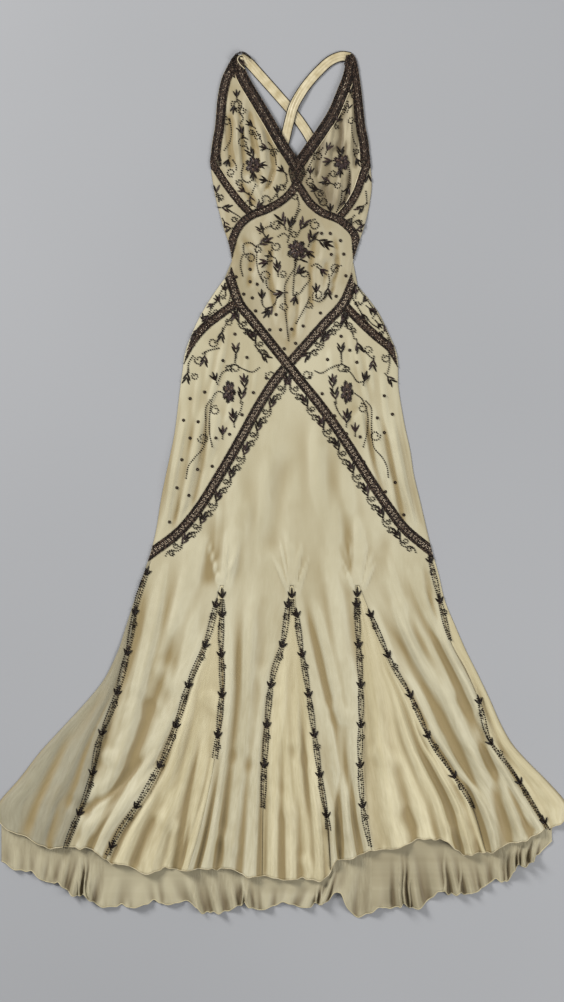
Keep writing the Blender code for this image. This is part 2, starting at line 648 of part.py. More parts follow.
def above_slits(v_line, low_point):
    """The run of cloth from the crossing seams down to a point on the slits' level."""
    left, right = v_line[0][0], v_line[-1][0]
    low_left, low_right = (x_at(SEAMS[seam], APEX_DROP) for seam in (FIRST_SEAM, LAST_SEAM))
    x = left + (low_point[0] - low_left) / (low_right - low_left) * (right - left)
    top = np.array([x, np.interp(x, v_line[:, 0], v_line[:, 1]) + 2 * SEAM_GAP])
    return straight(top, low_point, SKIRT_TOP_ROWS)


# ---------------------------------------------------------------- back
RUFFLE_ROWS = 3
SIDE_POINTS = 26
SIDE_LOW = 1390.0          # where the straight side ends, above the hem's corner
HEM_NOTCH = (1.0, 8.0)     # the side's last point, out from and above the first ruffle's top
BACK_EDGE = smooth(BACK_HEM)


def back_outline(outline, way, corner):
    """A side of the back, just inside the front's, down to where the ruffles begin."""
    drops = np.linspace(BACK_TOP, SIDE_LOW, SIDE_POINTS)
    side = np.column_stack([x_at(outline, drops) + way * BACK_INSET, drops])
    return np.vstack([side, corner])


def back_panel():
    """The back: one flat sheet below the front, and a ruffled border where it shows."""
    folds = [(crest, left, right) for crest, left, right, _ in BACK_RUFFLES]
    x = fold_places(BACK_EDGE[0, 0], BACK_EDGE[-1, 0], folds)
    start = hem_drop(x) + RUFFLE_START
    end = np.interp(x, BACK_EDGE[:, 0], BACK_EDGE[:, 1])
    drops = start + np.linspace(0, 1, RUFFLE_ROWS + 1)[:, None] * (end - start)
    grid = np.stack([np.broadcast_to(x, drops.shape), drops], axis=-1)
    under = back_under(grid[..., 0], grid[..., 1])
    out, up = HEM_NOTCH
    left = back_outline(LEFT, 1, (x[0] - out, start[0] - up))
    right = back_outline(RIGHT, -1, (x[-1] + out, start[-1] - up))
    border = np.vstack([left[::-1], right])
    points = np.vstack([grid.reshape(-1, 2), border])
    heights = np.concatenate([under.reshape(-1), np.zeros(len(border))])
    first = grid.shape[0] * grid.shape[1]
    sheet = (*range(grid.shape[1]), *(first + i for i in range(len(border) - 1, -1, -1)))
    cells = grid_cells(*grid.shape[:2]) + [sheet]
    wall("back_panel", points, cells, heights, BACK_WALL, GREY_BEIGE_CHIFFON)


# ---------------------------------------------------------------- beaded bands
BAND_STEP = 17.0
BAND_REACH = 25.0          # a band's edge is drawn out this far before it is cut at what it meets
MIDDLE_REACH = (60.0, 120.0)   # how far the bodice's middle line runs above and below the V
NECK_REACH = (30.0, 60.0)      # how far the neck band's outer edge is drawn out, up and down
UNDERARM = ((190.0, 206.0), (90.0, 204.0))   # from the middle line, and drop: the armhole bands' end

NECK_LINES = {
    "left": beside(smooth(NECK_LEFT), -NECK_BAND / 2),
    "right": beside(smooth(NECK_RIGHT), NECK_BAND / 2),
}
ARM_LINES = {
    "left": beside(smooth(ARMHOLE_LEFT), ARMHOLE_BAND / 2),
    "right": beside(smooth(ARMHOLE_RIGHT), -ARMHOLE_BAND / 2),
}
CUP_LINES, UNDER_LINES, CROSS_LINES, YOKE_LINES, HIP_LINES = (
    {side: smooth(table) for side, table in tables.items()}
    for tables in (CUP_SEAMS, UNDERBUSTS, CROSSES, YOKES, HIPS)
)
BAND_LINES = [
    line for lines in (NECK_LINES, ARM_LINES, CUP_LINES, UNDER_LINES, CROSS_LINES, HIP_LINES, YOKE_LINES)
    for line in lines.values()
]


def kept_inside(edge):
    """A band's edge, nowhere past the side edges of the cloth."""
    low = x_at(LEFT_EDGE, edge[:, 1]) + EDGE_MARGIN
    high = x_at(RIGHT_EDGE, edge[:, 1]) - EDGE_MARGIN
    return np.column_stack([np.clip(edge[:, 0], low, high), edge[:, 1]])


def band(name, line, width, start=None, stop=None):
    """A beaded strip along a line, lying on the front, cut at the start and stop lines."""
    edges = []
    for offset in (-width / 2, width / 2):
        edge = beside(line, offset)
        if stop is not None:
            edge = cut_before(lengthened(edge, BAND_REACH), stop)
        if start is not None:
            edge = cut_before(lengthened(edge[::-1], BAND_REACH), start)[::-1]
        edges.append(edge)
    length = np.hypot(*np.diff(edges[0], axis=0).T).sum()
    steps = max(3, round(length / BAND_STEP))
    grid = np.stack([kept_inside(sample(edge, steps)) for edge in edges], axis=1)
    under = front_under(grid[..., 0], grid[..., 1]) + WALL + SEAM_GAP
    wall(name, grid, grid_cells(*grid.shape[:2]), under, BAND_WALL, DARK_BEADS)


def bodice_bands(side):
    """The strips round one cup: neck, armhole, cup and underbust."""
    way = 1 if side == "left" else -1
    middle_x = MID_X - way * SEAM_GAP / 2
    middle = np.array([(middle_x, V_DROP - MIDDLE_REACH[0]), (middle_x, V_DROP + MIDDLE_REACH[1])])
    neck_line = beside(NECK_LINES[side], -way * EDGE_MARGIN)
    band(f"neck_band_{side}", neck_line, NECK_BAND, stop=middle)

    neck_stop = beside(neck_line, -way * (NECK_BAND / 2 + 2 * JOIN_GAP))
    neck_stop = lengthened(lengthened(neck_stop, NECK_REACH[1])[::-1], NECK_REACH[0])[::-1]
    underarm = np.array([(MID_X - way * off, drop) for off, drop in UNDERARM])
    arm_line = beside(ARM_LINES[side], way * EDGE_MARGIN)
    band(f"armhole_band_{side}", arm_line, ARMHOLE_BAND, neck_stop, underarm)

    under_top = beside(UNDER_LINES[side], -way * (UNDERBUST_BAND / 2 + JOIN_GAP))
    band(f"cup_band_{side}", CUP_LINES[side], CUP_BAND, underarm + (0, JOIN_GAP), under_top)
    under_start = np.vstack([cut_before(neck_stop, middle), middle[-1]])
    outline = side_stop(side)
    band(f"underbust_band_{side}", UNDER_LINES[side], UNDERBUST_BAND, under_start, outline)


def side_stop(side):
    """Just inside a side edge, where bands end."""
    return beside(LEFT_EDGE, EDGE_MARGIN) if side == "left" else beside(RIGHT_EDGE, -EDGE_MARGIN)


def crossing_bands():
    """The two long strips, one whole and one in two parts, and the short yoke strips."""
    left, right = side_stop("left"), side_stop("right")
    whole = smooth([*CROSSES["left"], *HIPS["right"][1:]])
    band("cross_band_whole", whole, LONG_BAND, left, right)
    above = beside(whole, LONG_BAND / 2 + JOIN_GAP)
    below = beside(whole, -LONG_BAND / 2 - JOIN_GAP)
    band("cross_band_upper", CROSS_LINES["right"], LONG_BAND, right, above)
    band("cross_band_lower", HIP_LINES["left"], LONG_BAND, below, left)
    outside = beside(CROSS_LINES["right"], LONG_BAND / 2 + JOIN_GAP)
    band("yoke_band_left", YOKE_LINES["left"], YOKE_BAND, below, left)
    band("yoke_band_right", YOKE_LINES["right"], YOKE_BAND, outside, right)


# ---------------------------------------------------------------- flowers and straps
def flower(name, x, drop, half, long):
    """A thick beaded flower with petals round its edge."""
    spokes = PETALS * 2
    points = [(x, drop)]
    for ring in (0.5, 1.0):
        for i in range(spokes):
            angle = 2 * math.pi * i / spokes
            reach = ring * (1 - PETAL_NOTCH * ring * (i % 2))
            points.append((x + half * reach * math.cos(angle), drop + long * reach * math.sin(angle)))
    cells = []
    for i in range(spokes):
        j = (i + 1) % spokes
        cells.append((0, 1 + j, 1 + i))
        cells.append((1 + i, 1 + j, 1 + spokes + j, 1 + spokes + i))
    points = np.array(points)
    under = front_under(points[:, 0], points[:, 1]) + WALL + SEAM_GAP
    wall(name, points, cells, under, FLOWER_WALL, DARK_BEADS)


def strap(name, table, over):
    """A satin strap from the shoulder tip to the back's top edge; one lies over the other."""
    back_top = np.array([(way * STRAP_LIMIT, BACK_TOP - SEAM_GAP) for way in (-1, 1)])
    line = smooth(table)
    edges = [cut_before(beside(line, way * STRAP_WIDTH / 2), back_top) for way in (-1, 1)]
    grid = np.stack([sample(edge, STRAP_STEPS) for edge in edges], axis=1)
    away = np.hypot(grid[..., 0] - STRAP_CROSSING[0], grid[..., 1] - STRAP_CROSSING[1])
    under = over * (STRAP_WALL + SEAM_GAP) * smoothstep(1 - (away - STRAP_BRIDGE) / STRAP_RAMP)
    wall(name, grid, grid_cells(*grid.shape[:2]), under, STRAP_WALL, CREAM_SATIN)


# ---------------------------------------------------------------- the gown
def clear_scene():
    for thing in list(bpy.data.objects):
        bpy.data.objects.remove(thing, do_unlink=True)


def main():
    clear_scene()
    back_panel()
    strap("strap_left", STRAP_LEFT_LINE, 0)
    strap("strap_right", STRAP_RIGHT_LINE, 1)
    under_left, cross_left = half_bodice("left")
    under_right, cross_right = half_bodice("right")
    midriff(under_left, under_right, cross_left, cross_right)
    skirt_front()
    for name, first_seam in GODETS:
        godet(name, first_seam)
    for side in ("left", "right"):
        bodice_bands(side)
    crossing_bands()
    for row in FLOWERS:
        flower(*row)


main()
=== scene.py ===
"""The looks of a beaded silk mermaid gown, laid out flat on its back.

Every cloth panel is a thin shell on its solid's form, with the finer folds added, and the beadwork
lies on the shells. Tables are in millimetres on the laid-out plan: x runs to the right of the
picture, and drop runs from the shoulder line down to the hem. The scene is in metres.
"""

import json
import math

import bmesh
import bpy
import numpy as np
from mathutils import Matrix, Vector

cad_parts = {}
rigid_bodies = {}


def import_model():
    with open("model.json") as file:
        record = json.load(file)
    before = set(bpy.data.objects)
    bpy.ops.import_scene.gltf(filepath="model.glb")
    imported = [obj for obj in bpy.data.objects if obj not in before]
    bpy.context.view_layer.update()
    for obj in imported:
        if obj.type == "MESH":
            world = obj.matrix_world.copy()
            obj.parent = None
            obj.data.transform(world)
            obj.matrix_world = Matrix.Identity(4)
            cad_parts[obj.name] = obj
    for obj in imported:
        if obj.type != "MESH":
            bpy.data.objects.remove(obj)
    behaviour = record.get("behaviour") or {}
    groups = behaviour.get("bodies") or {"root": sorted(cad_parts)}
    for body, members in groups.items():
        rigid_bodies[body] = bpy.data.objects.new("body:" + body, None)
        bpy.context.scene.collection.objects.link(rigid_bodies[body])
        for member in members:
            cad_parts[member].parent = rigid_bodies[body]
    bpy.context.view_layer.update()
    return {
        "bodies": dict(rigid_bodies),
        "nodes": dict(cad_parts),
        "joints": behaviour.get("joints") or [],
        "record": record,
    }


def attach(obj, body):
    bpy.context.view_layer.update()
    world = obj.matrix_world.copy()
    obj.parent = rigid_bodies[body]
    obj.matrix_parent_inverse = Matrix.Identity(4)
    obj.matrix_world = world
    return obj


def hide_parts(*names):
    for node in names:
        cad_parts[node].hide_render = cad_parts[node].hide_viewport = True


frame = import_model()

# ---------------------------------------------------------------- driving dimensions, millimetres
MM = 0.001
CENTRE_X = -11.75          # the plan's middle, between the two hem corners
CENTRE_DROP = 800.3        # halfway between the shoulder tips and the lowest ruffle
WALL = 1.6                 # chiffon and its silk underlining
BACK_WALL = 1.5
STRAP_WALL = 1.5
SEAM_GAP = 0.3
FRONT_REST = BACK_WALL + SEAM_GAP
PUFF = 3.0                 # how far the middle of the front stands off the back
PUFF_REACH = 45.0          # how far from a side edge the front takes to rise
EDGE_MARGIN = 0.6          # bands stop this far inside a cloth edge
CORNER = 3.0               # pieces that run to a point are cut off this far before it
APEX_DROP = 990.0          # where the godet slits begin
BACK_INSET = 8.0           # the back's sides lie this far inside the front's
RUFFLE_START = 5.0         # the back begins to ruffle this far past the front hem
JOIN_GAP = 0.8             # between beaded bands where they meet
BACK_TOP = 303.0           # the low back's top edge
FLAT_MARGIN = 14.0         # cloth lies smooth this far past a band before a crease begins
FLAT_BLEND = 22.0
CREASE_FADE = 0.35         # share of a crease's length over which each end fades out
RUN_FADE = (0.3, 0.16)     # and of a bent fold's, at its top and at its foot
MID_X = 16.0               # the V neck's lowest point, and the bodice's middle line
V_DROP = 198.0

# widths of the beaded bands
NECK_BAND = 21.0
ARMHOLE_BAND = 17.0
CUP_BAND = 14.0
UNDERBUST_BAND = 15.0
LONG_BAND = 18.5
YOKE_BAND = 16.0
STRAP_WIDTH = 18.0

# ---------------------------------------------------------------- outline and seams: (x, drop)
ARMHOLE_LEFT = (
    (-97, 9), (-106, 20), (-116, 37), (-124, 56), (-131, 92), (-135, 139), (-141, 175), (-144, 207),
)
ARMHOLE_RIGHT = ((121, 8), (127, 22), (132, 46), (136, 74), (139, 102), (143, 139), (149, 170), (152, 207))
NECK_LEFT = ((-84, 12), (-80, 31), (-70, 54), (-48, 91), (-24, 131), (-5, 165), (16, 198))
NECK_RIGHT = ((108, 11), (102, 44), (89, 78), (74, 113), (56, 142), (36, 170), (16, 198))
SIDE_LEFT = (
    (-144, 207), (-140, 240), (-133, 278), (-126, 305), (-118, 333), (-109, 361), (-104, 392),
    (-110, 414), (-122, 429), (-139, 453), (-154, 477), (-168, 503), (-181, 533), (-191, 562),
    (-195, 592), (-200, 629), (-209, 703), (-218, 749), (-228, 796), (-235, 832), (-244, 888),
    (-253, 925), (-268, 971), (-281, 1008), (-302, 1073), (-314, 1110), (-339, 1162), (-370, 1202),
    (-413, 1249), (-459, 1299), (-496, 1347), (-532, 1388), (-540, 1410), (-536, 1432),
)
SIDE_RIGHT = (
    (152, 207), (155, 250), (152, 278), (148, 300), (142, 324), (133, 352), (122, 385),
    (118, 407), (121, 428), (133, 441), (152, 464), (170, 490), (185, 522), (196, 546), (203, 572),
    (204, 601), (205, 629), (216, 694), (226, 740), (233, 786), (244, 832), (255, 879),
    (266, 925), (279, 971), (290, 1018), (309, 1064), (329, 1110), (352, 1156), (374, 1202),
    (392, 1243), (414, 1282), (442, 1314), (475, 1347), (507, 1382), (518, 1402), (514, 1421),
)
CUP_SEAM_LEFT = ((-144, 207), (-132, 222), (-118, 244), (-101, 267), (-84, 288), (-66, 306))
CUP_SEAM_RIGHT = ((152, 207), (142, 222), (135, 242), (127, 264), (113, 288), (92, 313))
UNDERBUST_LEFT = (
    (16, 247), (4, 266), (-16, 283), (-40, 296), (-66, 306), (-86, 321), (-99, 342), (-105, 370),
)
UNDERBUST_RIGHT = (
    (16, 247), (26, 262), (40, 283), (62, 301), (92, 313), (110, 326), (124, 344), (128, 370),
)
CROSS_LEFT = ((-110, 414), (-92, 466), (-70, 495), (-43, 529), (0, 583))
CROSS_RIGHT = ((121, 428), (102, 470), (68, 507), (33, 546), (0, 583))
YOKE_LEFT = ((-92, 466), (-122, 487), (-154, 512), (-178, 540), (-191, 562))
YOKE_RIGHT = ((102, 470), (130, 499), (161, 528), (189, 551), (203, 572))
HIP_LEFT = (
    (0, 583), (-27, 616), (-56, 662), (-89, 722), (-126, 786), (-163, 845), (-202, 892), (-250, 932),
)
HIP_RIGHT = (
    (0, 583), (24, 614), (59, 657), (105, 722), (152, 796), (189, 851), (218, 888), (262, 928),
)

# godet seams, left to right, from the slits' tops down: (x, drop)
SIDE_SEAM_LEFT = (
    (-246, 928), (-259, 960), (-279, 1018), (-296, 1110), (-320, 1202), (-348, 1276), (-370, 1369),
    (-403, 1452), (-413, 1480),
)
SEAM_1 = (
    (-125, 990), (-150, 1092), (-181, 1166), (-204, 1240), (-233, 1314), (-274, 1388), (-311, 1443),
    (-339, 1500),
)
SEAM_2 = ((-119, 990), (-124, 1092), (-122, 1184), (-131, 1276), (-142, 1350), (-163, 1443), (-185, 1516))
SEAM_3 = ((4, 990), (-9, 1092), (-30, 1166), (-41, 1276), (-46, 1388), (-48, 1534))
SEAM_4 = ((10, 990), (22, 1092), (37, 1184), (50, 1276), (63, 1369), (74, 1434), (80, 1524))
SEAM_5 = ((125, 990), (130, 1092), (135, 1202), (133, 1314), (139, 1406), (152, 1471), (156, 1486))
SEAM_6 = (
    (131, 990), (161, 1064), (194, 1138), (226, 1193), (263, 1276), (300, 1332), (340, 1397), (368, 1490),
)
SIDE_SEAM_RIGHT = (
    (258, 924), (267, 960), (281, 1018), (300, 1092), (329, 1147), (352, 1202), (368, 1267),
    (392, 1304), (420, 1341), (448, 1388), (481, 1442),
)
FRONT_HEM = (
    (-540, 1424), (-496, 1452), (-450, 1471), (-413, 1474), (-372, 1474), (-339, 1495), (-292, 1510),
    (-265, 1519), (-209, 1513), (-172, 1516), (-120, 1512), (-70, 1526), (4, 1532), (68, 1530),
    (91, 1500), (152, 1482), (207, 1471), (275, 1456), (309, 1478), (346, 1487), (401, 1471),
    (429, 1462), (466, 1447), (490, 1436), (518, 1419),
)
BACK_HEM = (
    (-530, 1500), (-511, 1508), (-468, 1526), (-422, 1545), (-385, 1563), (-348, 1578), (-311, 1584),
    (-255, 1578), (-191, 1577), (-154, 1591), (-131, 1597), (-98, 1582), (-52, 1586), (4, 1578),
    (50, 1584), (91, 1556), (107, 1582), (124, 1597), (152, 1595), (189, 1582), (235, 1584),
    (272, 1563), (290, 1554), (322, 1563), (374, 1539), (401, 1536), (420, 1513), (448, 1502),
    (470, 1480), (488, 1462),
)

# ---------------------------------------------------------------- folds and creases
# A skirt fold follows the godet seams down. Columns: where its crest meets the hem (x), the drop
# it starts from, the width of its left and of its right slope at the hem, and its height there.
SKIRT_FOLDS = (
    (-514, 1180, 24, 24, 6), (-461, 1110, 28, 22, 9), (-420, 950, 18, 9, 11), (-388, 1150, 12, 14, 6),
    (-360, 1270, 9, 32, 17), (-312, 1050, 16, 30, 13), (-255, 1190, 30, 20, 8), (-190, 1230, 10, 22, 17),
    (-156, 1010, 13, 26, 13), (-108, 1240, 20, 18, 7), (-66, 1020, 30, 12, 15), (-30, 1080, 13, 16, 8),
    (5, 1130, 16, 14, 10), (37, 1110, 13, 12, 9), (59, 1240, 10, 10, 7), (87, 1320, 8, 12, 16),
    (120, 990, 22, 12, 15), (148, 1020, 12, 17, 11), (206, 1140, 30, 30, 9), (262, 1190, 24, 22, 8),
    (304, 1080, 28, 10, 15), (337, 1050, 15, 9, 13), (362, 1240, 9, 9, 10), (386, 1090, 14, 12, 16),
    (430, 1040, 24, 20, 9), (468, 1000, 16, 14, 10), (503, 1040, 14, 12, 8),
)
# A crease is a straight soft ridge. Columns: x and drop of its two ends, half-width, height.
CREASES = (
    (-46, 100, -38, 215, 13, 2.2), (-92, 120, -98, 205, 12, 2.0), (-68, 235, -50, 270, 12, 1.6),
    (108, 110, 113, 262, 11, 3.0), (66, 190, 78, 270, 13, 2.0), (-64, 330, -20, 300, 12, 1.6),
    (-70, 400, -30, 440, 15, 1.6), (70, 360, 88, 430, 13, 1.8), (20, 430, 6, 520, 18, 1.5),
    (-158, 640, -186, 830, 15, 3.4), (-126, 620, -152, 780, 15, 2.8), (-196, 660, -218, 870, 13, 3.0),
    (-92, 590, -100, 690, 14, 2.2), (148, 640, 180, 820, 15, 3.2), (118, 610, 142, 760, 15, 2.6),
    (184, 660, 222, 860, 13, 3.0), (84, 590, 96, 690, 14, 2.2), (-232, 960, -300, 1290, 18, 5.0),
    (-196, 985, -262, 1250, 20, 4.0), (-160, 1000, -214, 1210, 16, 3.4), (-114, 880, -122, 985, 9, 2.6),
    (7, 900, 7, 985, 9, 2.4), (128, 850, 128, 985, 9, 3.0), (78, 900, 118, 1010, 13, 2.6),
    (46, 1000, 92, 1240, 18, 4.0), (-66, 1000, -82, 1230, 18, 3.6), (170, 940, 262, 1190, 18, 4.6),
    (206, 960, 322, 1230, 18, 4.4), (238, 975, 372, 1290, 16, 4.0),
)
# A ruffle stands at the back hem. Columns: x, width of its left and right slopes, height.
BACK_RUFFLES = (
    (-505, 22, 20, 7), (-452, 26, 18, 8), (-404, 16, 12, 12), (-378, 12, 12, 14), (-352, 12, 14, 11),
    (-316, 18, 18, 7), (-268, 22, 16, 9), (-226, 18, 18, 8), (-186, 14, 14, 11), (-148, 14, 16, 13),
    (-112, 16, 10, 9), (-82, 10, 12, 15), (-40, 22, 20, 8), (10, 22, 20, 9), (52, 18, 16, 10),
    (84, 12, 12, 14), (122, 18, 16, 12), (166, 20, 18, 9), (200, 12, 12, 12), (224, 10, 12, 15),
    (262, 16, 14, 9), (294, 12, 12, 14), (322, 12, 12, 12), (352, 12, 14, 10), (388, 14, 14, 9),
    (418, 10, 10, 13), (442, 10, 10, 14), (464, 9, 9, 11),
)
# Beaded flowers. Columns: name, x, drop, half-width, half-length.
FLOWER_CALM = 12.0
FLOWERS = (
    ("flower_cup_left", -64, 214, 16, 17), ("flower_cup_right", 99, 209, 16, 17),
    ("flower_midriff", 17, 370, 20, 19), ("flower_hip_left", -109, 633, 13, 22),
    ("flower_hip_right", 109, 633, 13, 22),
)

# strap centre lines, from the shoulder tip to the back's top edge, hidden below the cups
STRAP_LEFT_LINE = (
    (-88, 12), (-73, 23), (-54, 44), (-22, 80), (4, 110), (24, 136), (43, 167), (62, 213), (76, 259),
    (88, 308),
)
STRAP_RIGHT_LINE = (
    (116, 14), (98, 12), (77, 21), (57, 39), (39, 59), (24, 80), (10, 106), (1, 138), (-7, 172),
    (-18, 214), (-32, 262), (-47, 308),
)
STRAP_CROSSING = (8.0, 114.0)
STRAP_BRIDGE = 30.0        # the upper strap is fully raised this far from the crossing
STRAP_RAMP = 34.0
STRAP_LIMIT = 200.0        # half the length of the line the straps end at

# ---------------------------------------------------------------- finer folds
# Minor skirt folds. Columns as in SKIRT_FOLDS.
MINOR_FOLDS = (
    (-526, 1260, 8, 10, 2), (-490, 1180, 14, 10, 4), (-443, 1210, 7, 14, 4), (-404, 1090, 6, 10, 5),
    (-374, 1330, 6, 8, 4), (-333, 1200, 12, 9, 3), (-292, 1120, 14, 8, 4), (-232, 1060, 18, 9, 3),
    (-212, 1300, 7, 7, 3), (-176, 1120, 6, 9, 4), (-137, 1200, 10, 6, 3), (-92, 1120, 12, 7, 4),
    (-50, 1290, 6, 9, 3), (-18, 1220, 6, 10, 3), (20, 1250, 6, 6, 3), (47, 1330, 4, 5, 3),
    (72, 1120, 6, 9, 4), (100, 1180, 6, 6, 4), (134, 1150, 5, 6, 4), (166, 1220, 10, 12, 3),
    (230, 1300, 14, 10, 3), (283, 1250, 9, 12, 3), (320, 1290, 6, 6, 4), (350, 1180, 5, 6, 4),
    (374, 1320, 5, 6, 4), (404, 1150, 12, 7, 4), (446, 1240, 12, 8, 3), (486, 1200, 10, 6, 3),
)
# Small creases of the bodice, hips and upper skirt. Columns as in CREASES.
MINOR_CREASES = (
    (-108, 80, -112, 160, 6, 0.9), (-78, 96, -74, 190, 7, 1.1), (-58, 150, -46, 214, 6, 1.0),
    (-100, 214, -92, 262, 7, 1.1), (-40, 226, -58, 282, 8, 1.3), (-24, 196, -30, 256, 6, 0.8),
    (104, 66, 100, 150, 6, 1.0), (120, 110, 128, 218, 7, 1.5), (96, 134, 92, 236, 6, 1.5),
    (62, 204, 56, 262, 7, 1.0), (88, 240, 92, 296, 7, 1.2), (46, 222, 40, 256, 6, 0.8),
    (-92, 356, -58, 372, 8, 0.9), (-50, 380, -66, 452, 9, 0.9), (-14, 430, -22, 500, 9, 0.8),
    (44, 392, 52, 470, 9, 0.9), (96, 380, 70, 350, 7, 1.0), (92, 402, 62, 442, 8, 0.9),
    (-30, 348, -12, 392, 8, 0.7), (8, 470, -6, 540, 8, 0.8), (-112, 512, -124, 590, 7, 1.0),
    (-140, 546, -152, 630, 7, 1.1), (-162, 588, -176, 700, 8, 1.4), (-104, 640, -118, 700, 7, 1.1),
    (-140, 700, -166, 830, 7, 1.3), (-178, 712, -204, 850, 8, 1.6), (-206, 730, -226, 880, 7, 1.5),
    (-186, 826, -210, 886, 6, 1.2), (-74, 548, -84, 640, 7, 0.8), (-60, 590, -66, 650, 6, 0.7),
    (-128, 740, -146, 806, 6, 1.0), (112, 520, 122, 600, 7, 1.0), (146, 556, 158, 640, 7, 1.2),
    (172, 590, 186, 720, 8, 1.6), (130, 636, 144, 720, 7, 1.3), (158, 700, 178, 816, 8, 1.7),
    (192, 700, 220, 850, 7, 1.8), (206, 780, 240, 900, 7, 1.5), (74, 540, 82, 640, 7, 0.8),
    (100, 660, 112, 720, 6, 0.9), (182, 806, 206, 866, 6, 1.2), (-222, 930, -250, 1080, 8, 1.5),
    (-186, 940, -222, 1100, 8, 1.3), (-150, 880, -172, 1010, 9, 1.4), (-126, 820, -134, 960, 9, 1.2),
    (-104, 940, -128, 1012, 6, 1.3), (-132, 930, -122, 1000, 5, 1.3), (-90, 900, -112, 1016, 8, 1.4),
    (-4, 880, 6, 1004, 6, 1.2), (20, 910, 10, 1004, 6, 1.2), (-20, 940, 2, 1012, 6, 1.1),
    (34, 950, 14, 1020, 6, 1.1), (118, 900, 130, 1000, 6, 1.4), (142, 880, 130, 1000, 6, 1.5),
    (100, 900, 124, 1010, 8, 1.4), (158, 920, 136, 1004, 7, 1.4), (-152, 890, -124, 1004, 5, 1.8),
    (-110, 900, -120, 1004, 4, 1.9), (-98, 930, -118, 1008, 4, 1.7), (-142, 920, -124, 1008, 4, 1.8),
    (-16, 900, 4, 1004, 4, 1.8), (28, 900, 9, 1006, 4, 1.9), (-30, 930, 3, 1010, 4, 1.6),
    (42, 930, 12, 1012, 4, 1.7), (110, 890, 126, 1000, 4, 1.9), (148, 900, 131, 1002, 4, 1.8),
    (96, 930, 124, 1006, 4, 1.6), (164, 940, 134, 1008, 5, 1.8), (56, 660, 50, 860, 26, 1.1),
    (-44, 740, -40, 900, 30, 1.0), (84, 800, 104, 960, 14, 1.2), (-70, 820, -84, 980, 16, 1.2),
    (178, 920, 226, 1060, 9, 1.4), (214, 940, 276, 1110, 8, 1.4), (240, 950, 300, 1090, 7, 1.2),
    (150, 1010, 214, 1190, 12, 2.0), (188, 1010, 292, 1240, 10, 1.8),
)
# Deeper puckers of the cups and midriff. Columns as in CREASES.
PUCKERS = (
    (-104, 70, -92, 214, 12, 2.2), (-72, 60, -86, 150, 9, 1.4), (-56, 120, -30, 240, 13, 2.4),
    (-112, 150, -116, 214, 9, 1.6), (-84, 232, -60, 296, 12, 2.2), (-36, 210, -48, 290, 11, 2.0),
    (-12, 190, -22, 262, 9, 1.5), (108, 60, 101, 168, 9, 2.0), (122, 96, 132, 220, 9, 2.4),
    (88, 120, 84, 262, 10, 2.8), (62, 160, 58, 262, 11, 2.2), (38, 196, 44, 262, 9, 1.4),
    (112, 206, 96, 300, 9, 2.4), (-96, 364, -30, 388, 12, 1.6), (-84, 400, -40, 446, 12, 1.8),
    (-30, 300, -44, 340, 10, 1.4), (48, 300, 66, 350, 10, 1.4), (100, 372, 44, 396, 12, 1.6),
    (96, 420, 40, 470, 12, 1.8), (-28, 450, -10, 552, 12, 1.6), (30, 440, 16, 548, 12, 1.6),
    (-132, 300, -120, 346, 8, 1.2), (146, 296, 132, 344, 8, 1.2),
)
# Soft rises of the upper skirt and hips. Columns as in CREASES.
DRAPES = (
    (-20, 640, -60, 980, 34, 2.6), (40, 650, 62, 940, 30, 2.4), (-96, 760, -110, 1000, 24, 3.0),
    (92, 740, 148, 1000, 24, 3.2), (-168, 880, -214, 1130, 28, 3.0), (176, 900, 250, 1130, 26, 3.0),
    (-176, 640, -206, 900, 22, 3.4), (166, 640, 206, 890, 22, 3.4), (-120, 600, -146, 780, 20, 2.4),
    (120, 600, 146, 780, 20, 2.4), (-240, 1120, -200, 1200, 26, 3.2), (-300, 1180, -236, 1240, 24, -2.8),
    (-360, 1290, -290, 1330, 22, 3.0), (-420, 1380, -350, 1420, 20, -2.6),
    (-250, 1400, -200, 1450, 20, 2.8), (-160, 1180, -110, 1230, 24, 2.8),
    (-110, 1290, -60, 1340, 24, -3.0), (-140, 1430, -90, 1490, 22, 2.8), (-60, 1130, -20, 1210, 22, 2.4),
    (-30, 1360, 10, 1430, 22, 2.6), (0, 1280, 40, 1330, 20, -2.4), (20, 1480, 60, 1540, 20, 2.6),
    (70, 1200, 120, 1250, 24, 3.0), (60, 1430, 120, 1480, 22, -2.8), (150, 1280, 210, 1330, 26, 2.8),
    (190, 1400, 260, 1450, 26, -2.8), (240, 1250, 300, 1290, 24, 2.8), (280, 1420, 350, 1470, 22, 2.8),
    (300, 1190, 350, 1230, 22, -2.6), (350, 1330, 410, 1370, 22, 3.0), (420, 1420, 480, 1460, 20, -2.4),
)
